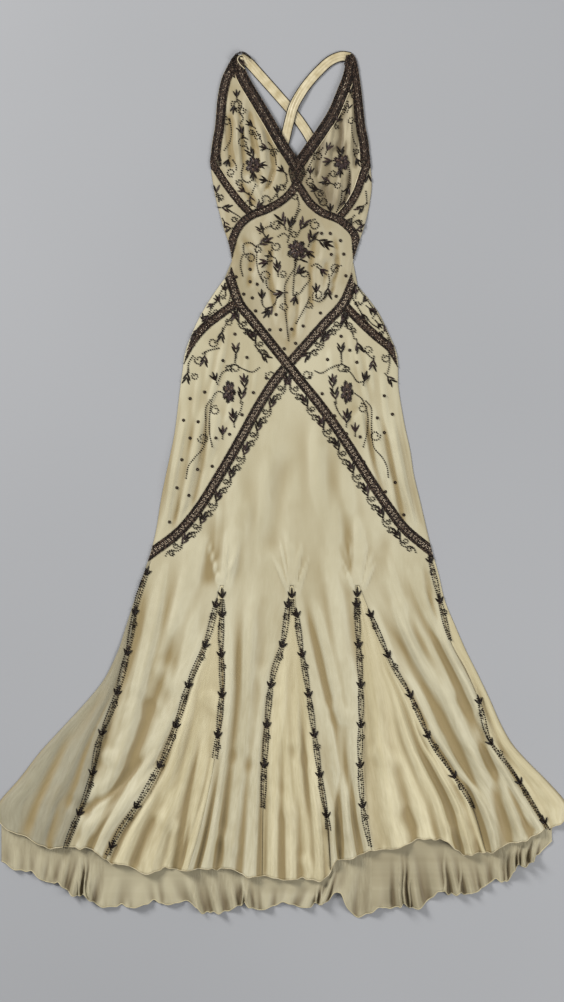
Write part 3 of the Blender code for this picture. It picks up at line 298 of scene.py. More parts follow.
# Bent folds and hollows. Columns: width of the left and of the right slope, height, and the line
# of the crest (or, where the height is below 0, of the hollow) down the gown.
RUNS = (
    # left cup
    (10, 12, -4.4, ((-110, 104), (-110, 170), (-102, 226))),
    (9, 6, 5.2, ((-94, 112), (-92, 170), (-88, 226))),
    (9, 10, -3.6, ((-72, 104), (-66, 156), (-60, 196))),
    (10, 7, 4.8, ((-54, 130), (-44, 176), (-42, 232))),
    (8, 9, -3.6, ((-30, 176), (-26, 216), (-40, 262))),
    (10, 12, -3.6, ((-92, 240), (-74, 262), (-62, 292))),
    (9, 6, 4.4, ((-78, 228), (-62, 250), (-46, 286))), (6, 6, -3.4, ((-22, 214), (-30, 240), (-50, 268))),
    # right cup
    (14, 9, -4.6, ((106, 84), (100, 150), (92, 196))), (9, 5, 6.2, ((118, 84), (117, 150), (114, 204))),
    (9, 8, -4.6, ((130, 120), (128, 170), (124, 226))), (12, 6, 5.8, ((84, 120), (78, 168), (74, 214))),
    (9, 10, -4.4, ((60, 150), (58, 196), (54, 240))), (10, 9, -4.6, ((114, 214), (112, 256), (98, 300))),
    (8, 6, 5.2, ((100, 224), (94, 260), (86, 300))), (9, 9, -4.0, ((74, 226), (68, 260), (72, 292))),
    (7, 5, 4.4, ((44, 196), (46, 230), (58, 264))),
    # midriff
    (10, 12, -3.0, ((-88, 336), (-68, 378), (-72, 446))),
    (9, 10, 2.8, ((-66, 330), (-50, 372), (-50, 452))),
    (9, 10, -2.8, ((-30, 350), (-34, 420), (-20, 500))),
    (9, 10, 2.6, ((-12, 400), (-14, 466), (-4, 540))), (10, 9, -2.8, ((52, 330), (42, 400), (44, 480))),
    (8, 9, 2.6, ((68, 346), (60, 410), (58, 470))), (9, 9, -2.8, ((86, 336), (92, 396), (78, 458))),
    (9, 9, -2.2, ((20, 440), (18, 490), (10, 540))),
    # hips
    (9, 9, -3.8, ((-196, 640), (-222, 760), (-246, 880))),
    (8, 7, 3.8, ((-182, 650), (-206, 770), (-230, 900))),
    (8, 8, -3.6, ((-168, 660), (-190, 780), (-214, 896))),
    (9, 7, 3.2, ((-150, 640), (-172, 760), (-200, 876))),
    (8, 9, -3.0, ((-136, 660), (-156, 770), (-180, 856))),
    (9, 8, 2.8, ((-120, 540), (-128, 590), (-146, 660))),
    (9, 9, -3.8, ((202, 640), (228, 760), (252, 890))), (7, 8, 3.8, ((186, 650), (210, 770), (236, 900))),
    (8, 8, -3.6, ((170, 660), (194, 780), (218, 896))), (7, 9, 3.2, ((152, 640), (176, 760), (202, 870))),
    (8, 8, -3.0, ((138, 660), (160, 770), (184, 850))), (8, 9, 2.8, ((122, 540), (132, 590), (148, 660))),
    # upper skirt
    (34, 30, -3.4, ((4, 730), (-20, 830), (-36, 940))), (26, 34, 3.6, ((52, 690), (60, 800), (92, 930))),
    (26, 22, 3.4, ((-70, 800), (-92, 900), (-112, 980))),
    (26, 26, -2.0, ((-128, 850), (-140, 930), (-150, 1000))),
    (28, 24, -2.2, ((128, 830), (112, 900), (116, 980))),
    (26, 22, -2.6, ((168, 880), (190, 960), (210, 1030))),
    # side godet and panel left of the first slit
    (12, 14, 3.6, ((-296, 1050), (-320, 1150), (-360, 1250), (-424, 1370), (-470, 1490))),
    (16, 14, -3.6, ((-392, 1240), (-440, 1340), (-490, 1460))),
    (14, 14, 3.4, ((-376, 1290), (-412, 1380), (-436, 1490))),
    (9, 18, -6.4, ((-262, 965), (-284, 1080), (-318, 1190), (-346, 1290), (-372, 1380))),
    (16, 20, 5.6, ((-226, 940), (-246, 1070), (-276, 1180), (-300, 1270), (-340, 1390))),
    (18, 12, -5.0, ((-202, 1040), (-232, 1160), (-274, 1280), (-316, 1370))),
    (26, 8, 6.6, ((-148, 1050), (-194, 1190), (-240, 1290), (-280, 1360))),
    (20, 44, 6.0, ((-222, 1312), (-284, 1374), (-336, 1416), (-390, 1450))),
    (20, 9, -7.0, ((-232, 1276), (-286, 1336), (-340, 1384), (-396, 1420))),
    # left godet
    (16, 20, -4.8, ((-196, 1260), (-244, 1370), (-300, 1540))),
    (20, 18, 4.6, ((-176, 1180), (-212, 1330), (-258, 1560))),
    (18, 7, -5.6, ((-158, 1250), (-186, 1390), (-214, 1560))),
    (8, 20, 5.2, ((-148, 1270), (-172, 1400), (-194, 1560))),
    # between the first and the second slit
    (12, 12, 3.4, ((-112, 1030), (-111, 1200), (-124, 1340), (-152, 1560))),
    (18, 18, -6.4, ((-94, 1000), (-92, 1180), (-108, 1320), (-140, 1560))),
    (26, 24, 6.2, ((-64, 950), (-68, 1110), (-78, 1240), (-98, 1380), (-114, 1570))),
    (12, 10, -3.4, ((-46, 1240), (-62, 1380), (-70, 1570))),
    # centre godet
    (14, 12, 3.6, ((-2, 1070), (-16, 1260), (-32, 1580))),
    (16, 12, 3.4, ((14, 1150), (14, 1340), (8, 1580))),
    (10, 12, -4.6, ((24, 1200), (32, 1390), (36, 1580))),
    (12, 12, 3.4, ((40, 1240), (52, 1400), (58, 1580))),
    # between the second and the third slit
    (11, 18, -7.6, ((24, 970), (42, 1060), (66, 1160), (88, 1250), (98, 1330), (94, 1420), (86, 1570))),
    (24, 24, 6.4, ((66, 880), (90, 1020), (110, 1160), (120, 1270), (122, 1390))),
    (8, 12, 4.2, ((110, 1340), (108, 1420), (102, 1560))),
    # right godet
    (16, 22, 3.8, ((144, 1070), (160, 1220), (182, 1340), (214, 1540))),
    (20, 18, -3.6, ((174, 1160), (208, 1320), (250, 1540))),
    (18, 14, 3.8, ((192, 1170), (238, 1320), (284, 1540))),
    (14, 8, -4.4, ((196, 1170), (258, 1310), (306, 1410), (334, 1540))),
    (8, 14, 4.6, ((208, 1176), (272, 1310), (322, 1410), (350, 1540))),
    # panel right of the third slit
    (12, 26, -6.2, ((208, 1116), (258, 1196), (308, 1290), (350, 1410), (372, 1540))),
    (22, 18, 7.0, ((156, 990), (232, 1100), (294, 1196), (340, 1290), (396, 1500))),
    (16, 14, -6.2, ((190, 940), (258, 1070), (318, 1176), (356, 1260), (424, 1500))),
    (14, 16, 5.6, ((220, 940), (276, 1070), (332, 1176), (374, 1276), (446, 1500))),
    (9, 10, -4.8, ((250, 945), (266, 1030), (290, 1110))),
    (9, 8, 4.2, ((300, 1110), (346, 1196), (384, 1290), (466, 1480))),
    (8, 7, -3.8, ((330, 1350), (366, 1540))), (7, 9, 3.8, ((342, 1350), (380, 1540))),
    (8, 9, -3.6, ((392, 1300), (440, 1380), (500, 1480))),
)
# Smaller ruffles between the large ones. Columns as in BACK_RUFFLES.
MINOR_RUFFLES = (
    (-480, 22, 12, 4), (-432, 8, 20, 3), (-391, 6, 6, 5), (-330, 26, 12, 4), (-284, 12, 22, 3),
    (-248, 18, 8, 4), (-196, 9, 24, 3), (-64, 18, 10, 4), (-10, 12, 26, 3), (104, 9, 22, 4),
    (184, 20, 8, 4), (252, 10, 20, 4), (337, 14, 8, 5), (376, 9, 16, 4), (403, 5, 5, 5), (430, 5, 7, 4),
)
# Narrow folds bunched together. Columns as in BACK_RUFFLES.
BUNCHES = (
    (-384, 4, 3, 9), (-375, 3, 4, 10), (-366, 4, 3, 8), (-84, 3, 4, 9), (-76, 4, 3, 7), (54, 4, 3, 9),
    (63, 3, 3, 8), (206, 3, 4, 9), (215, 4, 3, 10), (224, 3, 4, 8), (290, 4, 3, 8), (318, 4, 3, 7),
    (418, 3, 3, 10), (427, 3, 3, 9), (436, 3, 3, 10), (453, 3, 3, 9),
)
# Where a hem edge dips below or rises above its smooth line. Columns: x, half-width, drop.
FRONT_WAVES = (
    (-520, 16, 3), (-484, 22, -4), (-440, 12, 4), (-412, 16, -2), (-384, 9, 5), (-352, 16, -4),
    (-326, 9, 5), (-300, 14, -2), (-262, 20, 4), (-228, 10, -5), (-200, 15, 3), (-164, 20, -3),
    (-132, 9, 5), (-104, 16, -3), (-74, 10, 4), (-40, 20, -3), (-8, 14, 3), (26, 9, -4), (58, 13, 4),
    (88, 9, -5), (116, 20, 3), (150, 12, -4), (196, 24, 3), (240, 14, -4), (272, 10, 4), (298, 13, -4),
    (324, 8, 5), (350, 12, -3), (376, 9, 5), (408, 16, -3), (440, 10, 4), (474, 16, -4), (504, 10, 3),
)
BACK_WAVES = (
    (-508, 18, 5), (-474, 12, -6), (-450, 20, 3), (-424, 9, -6), (-398, 12, 6), (-376, 8, -7),
    (-344, 18, 5), (-308, 10, -5), (-284, 20, 4), (-248, 12, -7), (-222, 16, 4), (-186, 18, -5),
    (-158, 10, 7), (-136, 9, -5), (-108, 14, 6), (-80, 8, -8), (-50, 20, 4), (-10, 14, -5), (20, 18, 4),
    (50, 9, -8), (74, 12, 6), (102, 9, -4), (130, 16, 6), (166, 12, -5), (190, 14, 5), (214, 8, -8),
    (244, 16, 5), (276, 9, -5), (296, 7, 7), (318, 9, -6), (350, 16, 5), (384, 10, -6), (408, 8, 6),
    (426, 6, -6), (440, 6, 5), (458, 6, -4),
)

# ---------------------------------------------------------------- embroidery, charted
# A sprig of slender leaves. Columns: x and drop of its foot, heading in degrees (0 to the right,
# 90 down the gown), number of leaves, size.
SPRIGS = (
    # left cup
    (-95, 88, -92, 3, 1), (-100, 104, 96, 3, 1), (-84, 156, -112, 3, 1.1), (-66, 141, -140, 3, 1),
    (-64, 199, -122, 4, 1.1), (-38, 184, -165, 3, 1.1), (-8, 226, -140, 3, 1), (-110, 203, 110, 3, 1),
    (-54, 213, 8, 3, 1.1), (-38, 243, 190, 3, 1.1), (-64, 227, 90, 3, 1), (-20, 265, -92, 3, 1),
    (-80, 263, -145, 3, 1), (-58, 293, -42, 3, 1.1), (-70, 272, 70, 2, 0.9),
    # right cup
    (116, 81, -108, 3, 0.9), (90, 134, -58, 3, 1), (112, 109, -70, 2, 0.8), (72, 187, -64, 3, 1.1),
    (97, 198, -90, 4, 1.1), (80, 206, 172, 3, 1.1), (41, 231, -84, 3, 1), (78, 247, -160, 4, 1.1),
    (96, 221, 90, 3, 1), (56, 259, -165, 3, 1.1), (78, 299, -92, 3, 1), (126, 201, 66, 3, 1),
    (112, 255, 112, 3, 1), (104, 280, 100, 2, 0.9),
    # under the arms
    (-122, 292, 6, 4, 1.1), (-106, 330, 176, 4, 1), (-133, 264, -94, 2, 1.2), (-118, 318, 60, 2, 0.9),
    (140, 289, 140, 4, 1), (127, 333, -12, 4, 1.1), (149, 231, 84, 2, 1.2), (118, 312, 130, 2, 0.9),
    # midriff
    (-7, 326, -112, 4, 1.4), (3, 328, -74, 3, 1.3), (23, 332, -62, 4, 1.3), (-46, 339, -122, 4, 1),
    (-52, 360, -28, 5, 1.2), (40, 357, -70, 4, 1.3), (57, 353, 24, 5, 1.3), (33, 373, 34, 3, 1.2),
    (-19, 412, -96, 5, 1.1), (-37, 392, 165, 3, 1.2), (16, 414, -40, 3, 1.3), (59, 406, 40, 3, 1.1),
    (52, 449, -92, 3, 1.1), (74, 441, 92, 4, 1.1), (-48, 461, -92, 3, 1.1), (-9, 450, 172, 3, 1.2),
    (14, 456, 104, 3, 1.1), (-29, 475, 128, 5, 1.2), (22, 388, -8, 2, 1.2), (-30, 382, -150, 2, 1),
    # yokes
    (-116, 446, -96, 3, 1), (-127, 466, -120, 3, 1), (-139, 470, 150, 3, 0.9), (-147, 492, 140, 3, 1),
    (-157, 500, -120, 3, 1), (-168, 518, 132, 3, 0.9), (-176, 540, -112, 3, 0.9), (125, 452, -88, 3, 1),
    (139, 466, -48, 3, 1), (150, 478, 40, 3, 1.1), (160, 490, -60, 3, 1), (166, 506, 50, 3, 0.9),
    (178, 520, -40, 3, 1), (187, 540, 70, 3, 0.9), (136, 488, 60, 3, 0.9),
    # left hip
    (-122, 522, 100, 4, 1.1), (-154, 566, 96, 4, 1.1), (-186, 598, 100, 4, 1.1), (-98, 484, 92, 4, 1.1),
    (-76, 520, 40, 4, 1.1), (-96, 562, -92, 4, 1.1), (-133, 612, -112, 3, 1.2), (-80, 624, -94, 5, 1.2),
    (-87, 646, -82, 4, 1.2), (-100, 690, -96, 5, 1.2), (-121, 712, -88, 3, 1.2), (-49, 562, 40, 4, 1.1),
    # right hip
    (104, 494, 92, 4, 1.1), (70, 524, 140, 4, 1.1), (98, 561, -92, 4, 1.1), (128, 542, 74, 4, 1.1),
    (158, 574, 96, 4, 1.1), (184, 604, 48, 4, 1.1), (141, 613, -76, 3, 1.2), (82, 624, -90, 5, 1.2),
    (88, 646, -98, 4, 1.2), (108, 690, -86, 5, 1.2), (124, 707, -90, 3, 1.2), (42, 560, 140, 4, 1.1),
)
# A curl of seed beads. Columns: x and drop of its eye, radius, turn it starts at, sense.
CURLS = (
    (-97, 101, 8, 200, 1), (-85, 112, 7, 20, -1), (-82, 172, 9, -60, 1), (-67, 152, 5, 30, -1),
    (-56, 160, 6, 200, 1), (-25, 191, 7, -40, 1), (-105, 228, 7, 100, -1), (-43, 278, 11, 160, 1),
    (-11, 254, 6, 10, -1), (-90, 245, 6, 180, 1), (-113, 131, 7, 240, 1), (-72, 284, 6, 60, -1),
    (102, 106, 5, 220, 1), (90, 144, 4, 0, 1), (55, 198, 8, 160, -1), (117, 133, 6, -20, 1),
    (126, 187, 5, 190, 1), (84, 229, 6, 40, -1), (92, 251, 6, 200, 1), (41, 245, 7, 120, -1),
    (65, 280, 8, 190, 1), (60, 266, 5, 10, -1), (-125, 273, 5, 100, 1), (-99, 313, 5, 10, -1),
    (113, 320, 6, 200, 1), (131, 318, 5, 0, -1), (13, 271, 6, 200, 1), (-23, 323, 9, 180, 1),
    (50, 323, 9, 250, 1), (12, 341, 6, 30, -1), (-22, 363, 8, 200, 1), (-70, 385, 8, 210, -1),
    (-56, 371, 6, 20, 1), (-41, 419, 9, 140, -1), (-10, 415, 6, 90, 1), (30, 413, 7, 180, 1),
    (-8, 477, 7, 200, -1), (39, 474, 6, 20, 1), (88, 405, 8, -60, 1), (54, 455, 9, 180, -1),
    (4, 380, 5, 20, 1), (-134, 486, 5, 40, 1), (-150, 508, 5, 220, -1), (-120, 458, 4, 10, 1),
    (142, 500, 5, 20, 1), (128, 470, 4, 190, -1), (172, 524, 4, 100, 1), (-165, 573, 8, 190, 1),
    (-138, 541, 8, 10, -1), (-109, 503, 6, 210, 1), (-98, 590, 8, 160, -1), (-172, 603, 6, 200, 1),
    (-158, 718, 9, 150, 1), (-110, 590, 6, 20, 1), (-134, 666, 8, 260, 1), (112, 512, 7, 200, -1),
    (148, 556, 7, 10, 1), (181, 570, 7, 210, 1), (99, 590, 8, 20, 1), (108, 592, 6, 170, -1),
    (162, 713, 9, 20, -1), (137, 662, 8, 280, -1), (120, 520, 5, 10, 1), (-33, 601, 8, 180, 1),
    (36, 600, 8, 0, -1),
)
# Vines of seed beads, as lines of points.
VINES = (
    ((-94, 92), (-86, 100), (-89, 116), (-83, 127), (-88, 136)),
    ((-108, 128), (-105, 146), (-106, 164), (-112, 178), (-118, 186)), ((-84, 160), (-84, 164)),
    ((-76, 180), (-74, 184)), ((-58, 152), (-50, 168), (-48, 178)),
    ((-36, 172), (-30, 180), (-24, 198), (-22, 212)), ((-102, 204), (-96, 214), (-96, 222)),
    ((-82, 212), (-86, 228), (-84, 240), (-74, 246), (-64, 240)), ((-4, 232), (-2, 244), (-8, 252)),
    ((-22, 268), (-32, 280), (-36, 280)), ((-60, 250), (-66, 264), (-72, 280), (-62, 290)),
    ((110, 96), (106, 112), (98, 122)), ((118, 138), (118, 152), (120, 164), (126, 178)),
    ((64, 182), (50, 196), (40, 214), (30, 234)), ((104, 200), (112, 216), (114, 236), (110, 256)),
    ((44, 252), (50, 268), (60, 282)), ((100, 262), (98, 280), (90, 300)), ((76, 230), (70, 240)),
    ((-128, 280), (-130, 266)), ((-104, 300), (-94, 306), (-86, 312)), ((144, 262), (146, 282)),
    ((118, 322), (128, 316), (138, 326)),
    ((17, 274), (20, 286), (16, 300), (10, 316), (5, 334), (-1, 356)),
    ((-24, 332), (-14, 318), (-4, 316)), ((12, 316), (18, 302), (22, 296)),
    ((-18, 346), (-8, 340), (0, 346)), ((-52, 340), (-42, 330), (-30, 326)),
    ((-84, 418), (-88, 398), (-84, 380), (-76, 378)), ((-82, 374), (-82, 360), (-70, 357), (-60, 364)),
    ((-58, 376), (-58, 394), (-54, 414), (-46, 430)), ((-40, 428), (-38, 440), (-26, 449), (-12, 452)),
    ((-28, 368), (-36, 380), (-38, 396)), ((12, 390), (12, 404), (2, 420), (-6, 438), (-5, 470)),
    ((-5, 484), (-3, 502), (-1, 520), (1, 538)), ((16, 388), (12, 410), (10, 434), (9, 454)),
    ((37, 412), (40, 426), (30, 438), (22, 450), (12, 454)), ((44, 400), (53, 396), (61, 402)),
    ((75, 416), (77, 432), (74, 442)), ((80, 418), (88, 404), (98, 399)),
    ((40, 458), (34, 472), (24, 490), (15, 506)), ((-49, 464), (-46, 474), (-38, 480)),
    ((-20, 456), (-24, 470)), ((46, 462), (58, 466), (68, 458)),
    ((-116, 432), (-124, 448), (-136, 470), (-148, 490), (-162, 516), (-178, 544)),
    ((-106, 440), (-108, 462), (-118, 480)), ((-136, 500), (-146, 496), (-156, 508)),
    ((128, 436), (138, 452), (150, 468), (164, 488), (178, 512), (190, 540)),
    ((118, 440), (120, 460), (130, 478)), ((146, 496), (154, 506), (166, 514)),
    ((-104, 494), (-114, 506), (-120, 520)), ((-128, 552), (-146, 556), (-158, 562)),
    ((-176, 566), (-184, 580), (-184, 596)), ((-97, 564), (-98, 578)), ((-86, 508), (-82, 516)),
    ((-114, 588), (-100, 582), (-84, 590), (-66, 596), (-53, 588)),
    ((-112, 592), (-122, 598), (-128, 612)),
    ((-118, 636), (-130, 632), (-140, 646), (-145, 676), (-145, 708), (-140, 734)),
    ((-144, 648), (-152, 664), (-152, 700), (-156, 734), (-172, 754), (-184, 770), (-188, 792)),
    ((-84, 652), (-88, 668), (-96, 680)), ((-60, 548), (-54, 556)), ((108, 504), (116, 514), (122, 534)),
    ((136, 552), (150, 566), (158, 572)), ((186, 560), (188, 578), (184, 598)), ((98, 563), (99, 580)),
    ((84, 512), (78, 518)), ((50, 594), (62, 598), (80, 588), (98, 582), (112, 588)),
    ((110, 592), (118, 600), (128, 614), (138, 614)),
    ((124, 636), (138, 648), (147, 676), (146, 708), (139, 734)),
    ((144, 650), (154, 664), (154, 700), (158, 734), (174, 754), (183, 772), (185, 790)),
    ((86, 652), (92, 668), (102, 682)), ((60, 546), (54, 554)),
)
# Small round rosettes: x and drop.
ROSETTES = (
    (-70, 406), (-96, 420), (-70, 429), (-57, 434), (-82, 452), (-66, 459), (-60, 483), (-34, 518),
    (-14, 518), (-7, 553), (14, 543), (28, 511), (7, 517), (60, 487), (89, 456), (107, 418), (103, 378),
    (97, 353), (78, 340), (80, 379), (62, 340), (-22, 490), (-120, 575), (-76, 569), (-98, 526),
    (-154, 633), (-181, 645), (-64, 634), (-40, 607), (-85, 675), (-193, 685), (-166, 688), (-108, 711),
    (-181, 718), (-133, 718), (-196, 758), (-167, 776), (-140, 770), (-205, 810), (-183, 824),
    (-219, 873), (127, 578), (73, 573), (98, 530), (114, 556), (63, 636), (40, 606), (178, 640),
    (86, 677), (165, 681), (193, 674), (108, 710), (133, 716), (178, 708), (140, 762), (198, 800),
    (180, 817), (214, 860),
)
# Sprigs that stand at the slits' tops: x and drop of the foot.
CROWNS = ((-122, 1014), (7, 1014), (128, 1012))
# Beaded godet seams: the seam's place in SEAMS, then where its beads start and stop.
TRAILS = (
    (1, 962, 1474), (2, 1022, 1486), (3, 1040, 1308), (4, 1022, 1400), (5, 1040, 1440), (6, 1022, 1470),
    (7, 1040, 1400), (8, 940, 1090), (8, 1200, 1440),
)

# ---------------------------------------------------------------- the scene's own sizes, millimetres
SHELL = 0.8                # the modelled cloth, whose top is the wall's top
BACK_SHELL = 1.2
LEAST_LIFT = 0.1           # nothing comes nearer the floor than this
CELL = 3.8                 # length of a cloth cell down the bodice
CELL_ACROSS = 3.0          # width of a skirt cell at the hem
SKIRT_TOP_ROWS, SKIRT_ROWS = 96, 128
RUFFLE_ROWS, BACK_ROWS = 30, 16
BACK_ACROSS = 2.0          # width of a cell of the back, fine enough for its bunched folds
MIDDLE_ROWS = 12           # from the neck's lowest point to the underbust seam
YOKE_COLUMNS = 16
SEAM_SINK = 0.8            # a panel's border lies this much lower, along its seams
EDGE_ROLL = 9.0            # side edges turn down over this width
EDGE_HEIGHT = 2.0
TALL, TALL_ROOM = 20.0, 9.0     # folds are flattened past the first height, by no more than the second
LEAST_CALM = 0.55          # how much of the small creases is left under the beadwork
SKIRT_FOLD_SHARE = 0.8     # how much of the large skirt folds' height the hollows leave
MINOR_FOLD_SHARE = 0.2     # how much of the minor skirt folds' height is kept
MINOR_GAIN = 1.6           # how much higher the small creases stand than their table says
PUCKER_GAIN = 1.35
GATHER_TOP, GATHER_DEPTH = 700.0, 760.0
# Fine pleats. Columns: length of the wave at the hem, height, where it starts, how much it wanders.
GATHERS = ((24.0, 0.12, 0.4, 2.4), (13.7, 0.12, 2.1, 3.2), (8.7, 0.11, 4.0, 4.0))
# Sideways sway of the pleats on their way down. Columns: how far, over what drop, where it starts.
GATHER_SWAYS = ((5.0, 83.0, 1.3), (3.0, 37.0, 0.0))
# Two waves whose product makes the pleats uneven. Columns: length across, length down, start.
GATHER_PATCHES = ((61.0, 230.0, 0.0), (37.0, -310.0, 2.0))
GATHER_MEAN = 0.55
GATHER_TURN = 190.0        # drop over which a pleat wanders
CURL_HEIGHT, CURL_DEPTH = 0.9, 7.0
# A hem's small curls. Columns: height, length, how much they wander, over what length.
CURL_WAVES = ((1.0, 4.1, 2.0, 23.0), (0.6, 2.3, 1.0, 9.0))
RUFFLE_SLANT = 20.0        # how far the ruffles lean sideways on their way down
SLANT_LENGTH, SLANT_START = 71.0, 0.6      # over what length along the hem their lean changes side
BUNCH_WANDER = 1.4
BUNCH_DOWN, BUNCH_ACROSS = 11.0, 19.0      # drop and width over which bunched folds wander
HEM_WAVE_DEPTH = 45.0      # the hem's waves fade out over this depth
FRONT_ROLL, BACK_ROLL = 0.9, 1.1
FIRST_SEAM, LAST_SEAM = 1, 8   # the front skirt panel runs between these seams
HEM_TRIES = 20
SLITS = (2, 4, 6)          # the seam on the left of each slit in the front panel
GODETS = (
    ("godet_side_left", 0), ("godet_left", 2), ("godet_centre", 4), ("godet_right", 6),
    ("godet_side_right", 8),
)
SIDE_LOW = 1390.0          # where the back's straight side ends
STRAP_COLUMNS = 16
STRAP_CROWN, STRAP_PLEAT = 0.9, 0.6
CROWN_ROUND = 0.6          # power that fills out the strap's round section
PLEATS_ACROSS, PLEAT_BEND, PLEAT_BENDS, PLEAT_SWELLS = 21.0, 2.5, 6.0, 19.0     # radians over a strap
PLEAT_LEAST = 0.7          # share of their height that the pleats never lose
STRAP_CORD = 0.7
KNOT, KNOT_REACH, KNOT_HEIGHT = (-84.0, 16.0), 15.0, 3.0

# beads
SEED = 1.12                # radius of the strips' seed beads
VINE_SEED = 1.6
ROSETTE_SEED, ROSETTE, ROSETTE_BEADS, ROSETTE_LIFT = 1.3, 2.1, 6, 0.5
CURL_STEPS, CURL_TURNS = 18, 1.05
CURL_HOOK, CURL_OPENING = 0.35, 1.7        # share of the radius it starts at, and how fast it opens
SEAT = 0.45                # how much of a bead's radius its middle stands above the cloth
SEED_SIZES = (0.88, 1.1)   # beads vary between these shares of their size
VINE_PITCH = 4.0
BAND_PITCH, ROW_PITCH = 2.35, 1.95
ROW_MARGIN = 0.35          # of a row, between a strip's edge and its first row of beads
BEAD_SCATTER = 0.12        # how far a strip's beads stray from their rows
ROPE_SEED, CHAIN_SEED = SEED * 1.06, SEED * 0.94
STRAY_BROWNS = 0.2         # share of brown beads outside the rings
SPRIG_LEAF = 14.5          # length of a sprig's leaf
SPRIG_STEP = 6.6           # from one pair of leaves to the next along a stem
SPRIG_SPREAD = 0.50        # from the stem to a leaf of a pair, radians
SPRIG_STEM = (0.0, -3.6, -7.2)     # places of the three beads of its stem
TIP_LONGER = 0.16          # share by which the leaf at the tip is longer than a pair's
LEAF_WIDE, LEAF_THICK, LEAF_LIFT = 0.122, 1.1, 0.8   # half-width is a share of the length
LEAF_RINGS = ((0.15, 0.62), (0.5, 1.0), (0.85, 0.6))
LEAF_SIDES = tuple((math.cos(math.tau * i / 6), math.sin(math.tau * i / 6)) for i in range(6))
NET_LIFT, NET_MARGIN, NET_COLUMNS = 0.35, 0.02, 7
EDGE_ROPES = 2             # rows of dark beads along each edge of a strip
LONG_GLINTS = 0.75         # share of pale beads among the rings of the long strips
RING_PITCH, RING_RADIUS, RING_WALL = 7.4, 2.8, 1.1     # the chain of rings along a strip's middle
PIPING = 0.8               # radius of the cream cords
NECK_CORD_START, NECK_CORD_STOP, CUP_CORD_START = 8, 6, 5   # points of the strips' edges left bare
BAND_REACH = 25.0          # a strip's edge is drawn out this far before it is cut at what it meets
MIDDLE_REACH = (60.0, 120.0)   # how far the bodice's middle line runs above and below the V
NECK_REACH = (30.0, 60.0)      # how far the neck strip's outer edge is drawn out, up and down
UNDERARM = ((190.0, 206.0), (90.0, 204.0))   # from the middle line, and drop: the armhole strips' end
# Small areas of beads where strips meet, as places out from the middle line, and drop.
MIDDLE_PATCH = ((-1.5, 200.0), (4.0, 200.0), (12.0, 212.0), (15.0, 226.0), (9.0, 246.0), (-1.5, 250.0))
UNDERARM_PATCH = {
    "left": ((160, 196), (143, 192), (140, 204), (140, 214), (150, 218), (161, 206)),
    "right": ((137, 196), (120, 190), (118, 206), (119, 216), (128, 219), (137, 206)),
}
SHOULDER_TIPS = {
    "left": ((-97.0, 9.0), (-84.0, 12.0), (-80.0, 26.0), (-99.0, 52.0), (-112.0, 32.0), (-107.0, 20.0)),
    "right": ((121.0, 8.0), (108.0, 11.0), (104.0, 26.0), (118.0, 62.0), (130.0, 40.0), (128.0, 22.0)),
}
SHOULDER_RIM = ((-104, 20), (-98, 12), (-91, 8), (-84, 7), (-77, 10), (-70, 17))
SHOULDER_LOOP = ((-80, 36), (-88, 28), (-93, 20), (-91, 13), (-84, 11), (-77, 14), (-73, 20))
RIM_SEED, RIM_LENGTH, LOOP_HEIGHT = SEED * 1.2, 44.0, 6.4
BORDER_OFFSET, BORDER_PITCH = 17.0, 50.0
# One repeat of a border, as places along its line and off it.
BORDER_SPRIG, SPRIG_TURN, SPRIG_LEAVES, SPRIG_SIZE = (8, 3), 165, 5, 1.1
BORDER_CURLS, BORDER_CURL = (((19, -1), 0), ((34, 5), 180)), 4.8       # and how far each is turned
BORDER_TAIL = ((8, 2), (14, 8), (24, 8), (30, 1), (38, -1), (46, 3))
# Where each border starts and ends along its line.
HIP_BORDER, LEFT_BORDER, RIGHT_BORDER = (24, 410), (80, 160), (70, 150)
TRAIL_HALF, TRAIL_PITCH = 4.3, 74.0
TRAIL_NARROW = 0.55        # share of its width that a trail keeps where it is narrowest
TRAIL_SEED = VINE_SEED * 1.05
TRAIL_SCATTER = (TRAIL_HALF / 2, 1.5)      # how far the beads between the rows stray
TRAIL_START, TRAIL_REACH = 10.0, 20      # to its first leaves, and the drop its slope is read over
TRAIL_TIPS, TRAIL_SPREAD = (15.0, 20.0, 15.0), 0.58    # a trail's three leaves
TRAIL_LEAF, TRAIL_THICK = 2.1, LEAF_THICK * 1.2
EYE_DROP, EYE_OUT, EYE_ROOM, EYE_RADIUS = 16, 2.0, 24, 5.4     # and the curl below them
CROWN_TIPS, CROWN_SPREAD, CROWN_LEAF = (15.0, 21.0, 15.0), 0.52, 2.0
CROWN_THREADS = (-3.0, 0.0, 3.0)
CROWN_FALL, CROWN_FLARE = (3, 30), 1.8     # the threads' ends below it, and how they spread
BODICE_LOW = 500.0         # motifs above this drop belong to the bodice
PETAL_BEADS, PETAL_SPREAD = 7, 0.74       # slender beads in a petal, and how much of its share it fills
PETAL_BEAD, PETAL_THICK = 1.65, 1.3
PETAL_LONG, PETAL_ROUND, PETAL_NOTCH = 0.98, 0.22, 0.05    # shares of a petal's reach at its rim
NOTCH_WAVES = 9
PETAL_SWAY, PETAL_UNEVEN = 0.06, (0.96, 1.04)
FOOT_LIFT, TIP_SHARE, TIP_LIFT = 0.6, 0.45, 0.3     # feet stand above the ring's lift, tips below it
EYE_BEADS, EYE_RING, EYE_SEED, EYE_LIFT = 7, 2.4, 1.3, 3.4     # the beads round a flower's middle
HEART_SEED, HEART_LIFT = 1.4, 3.8

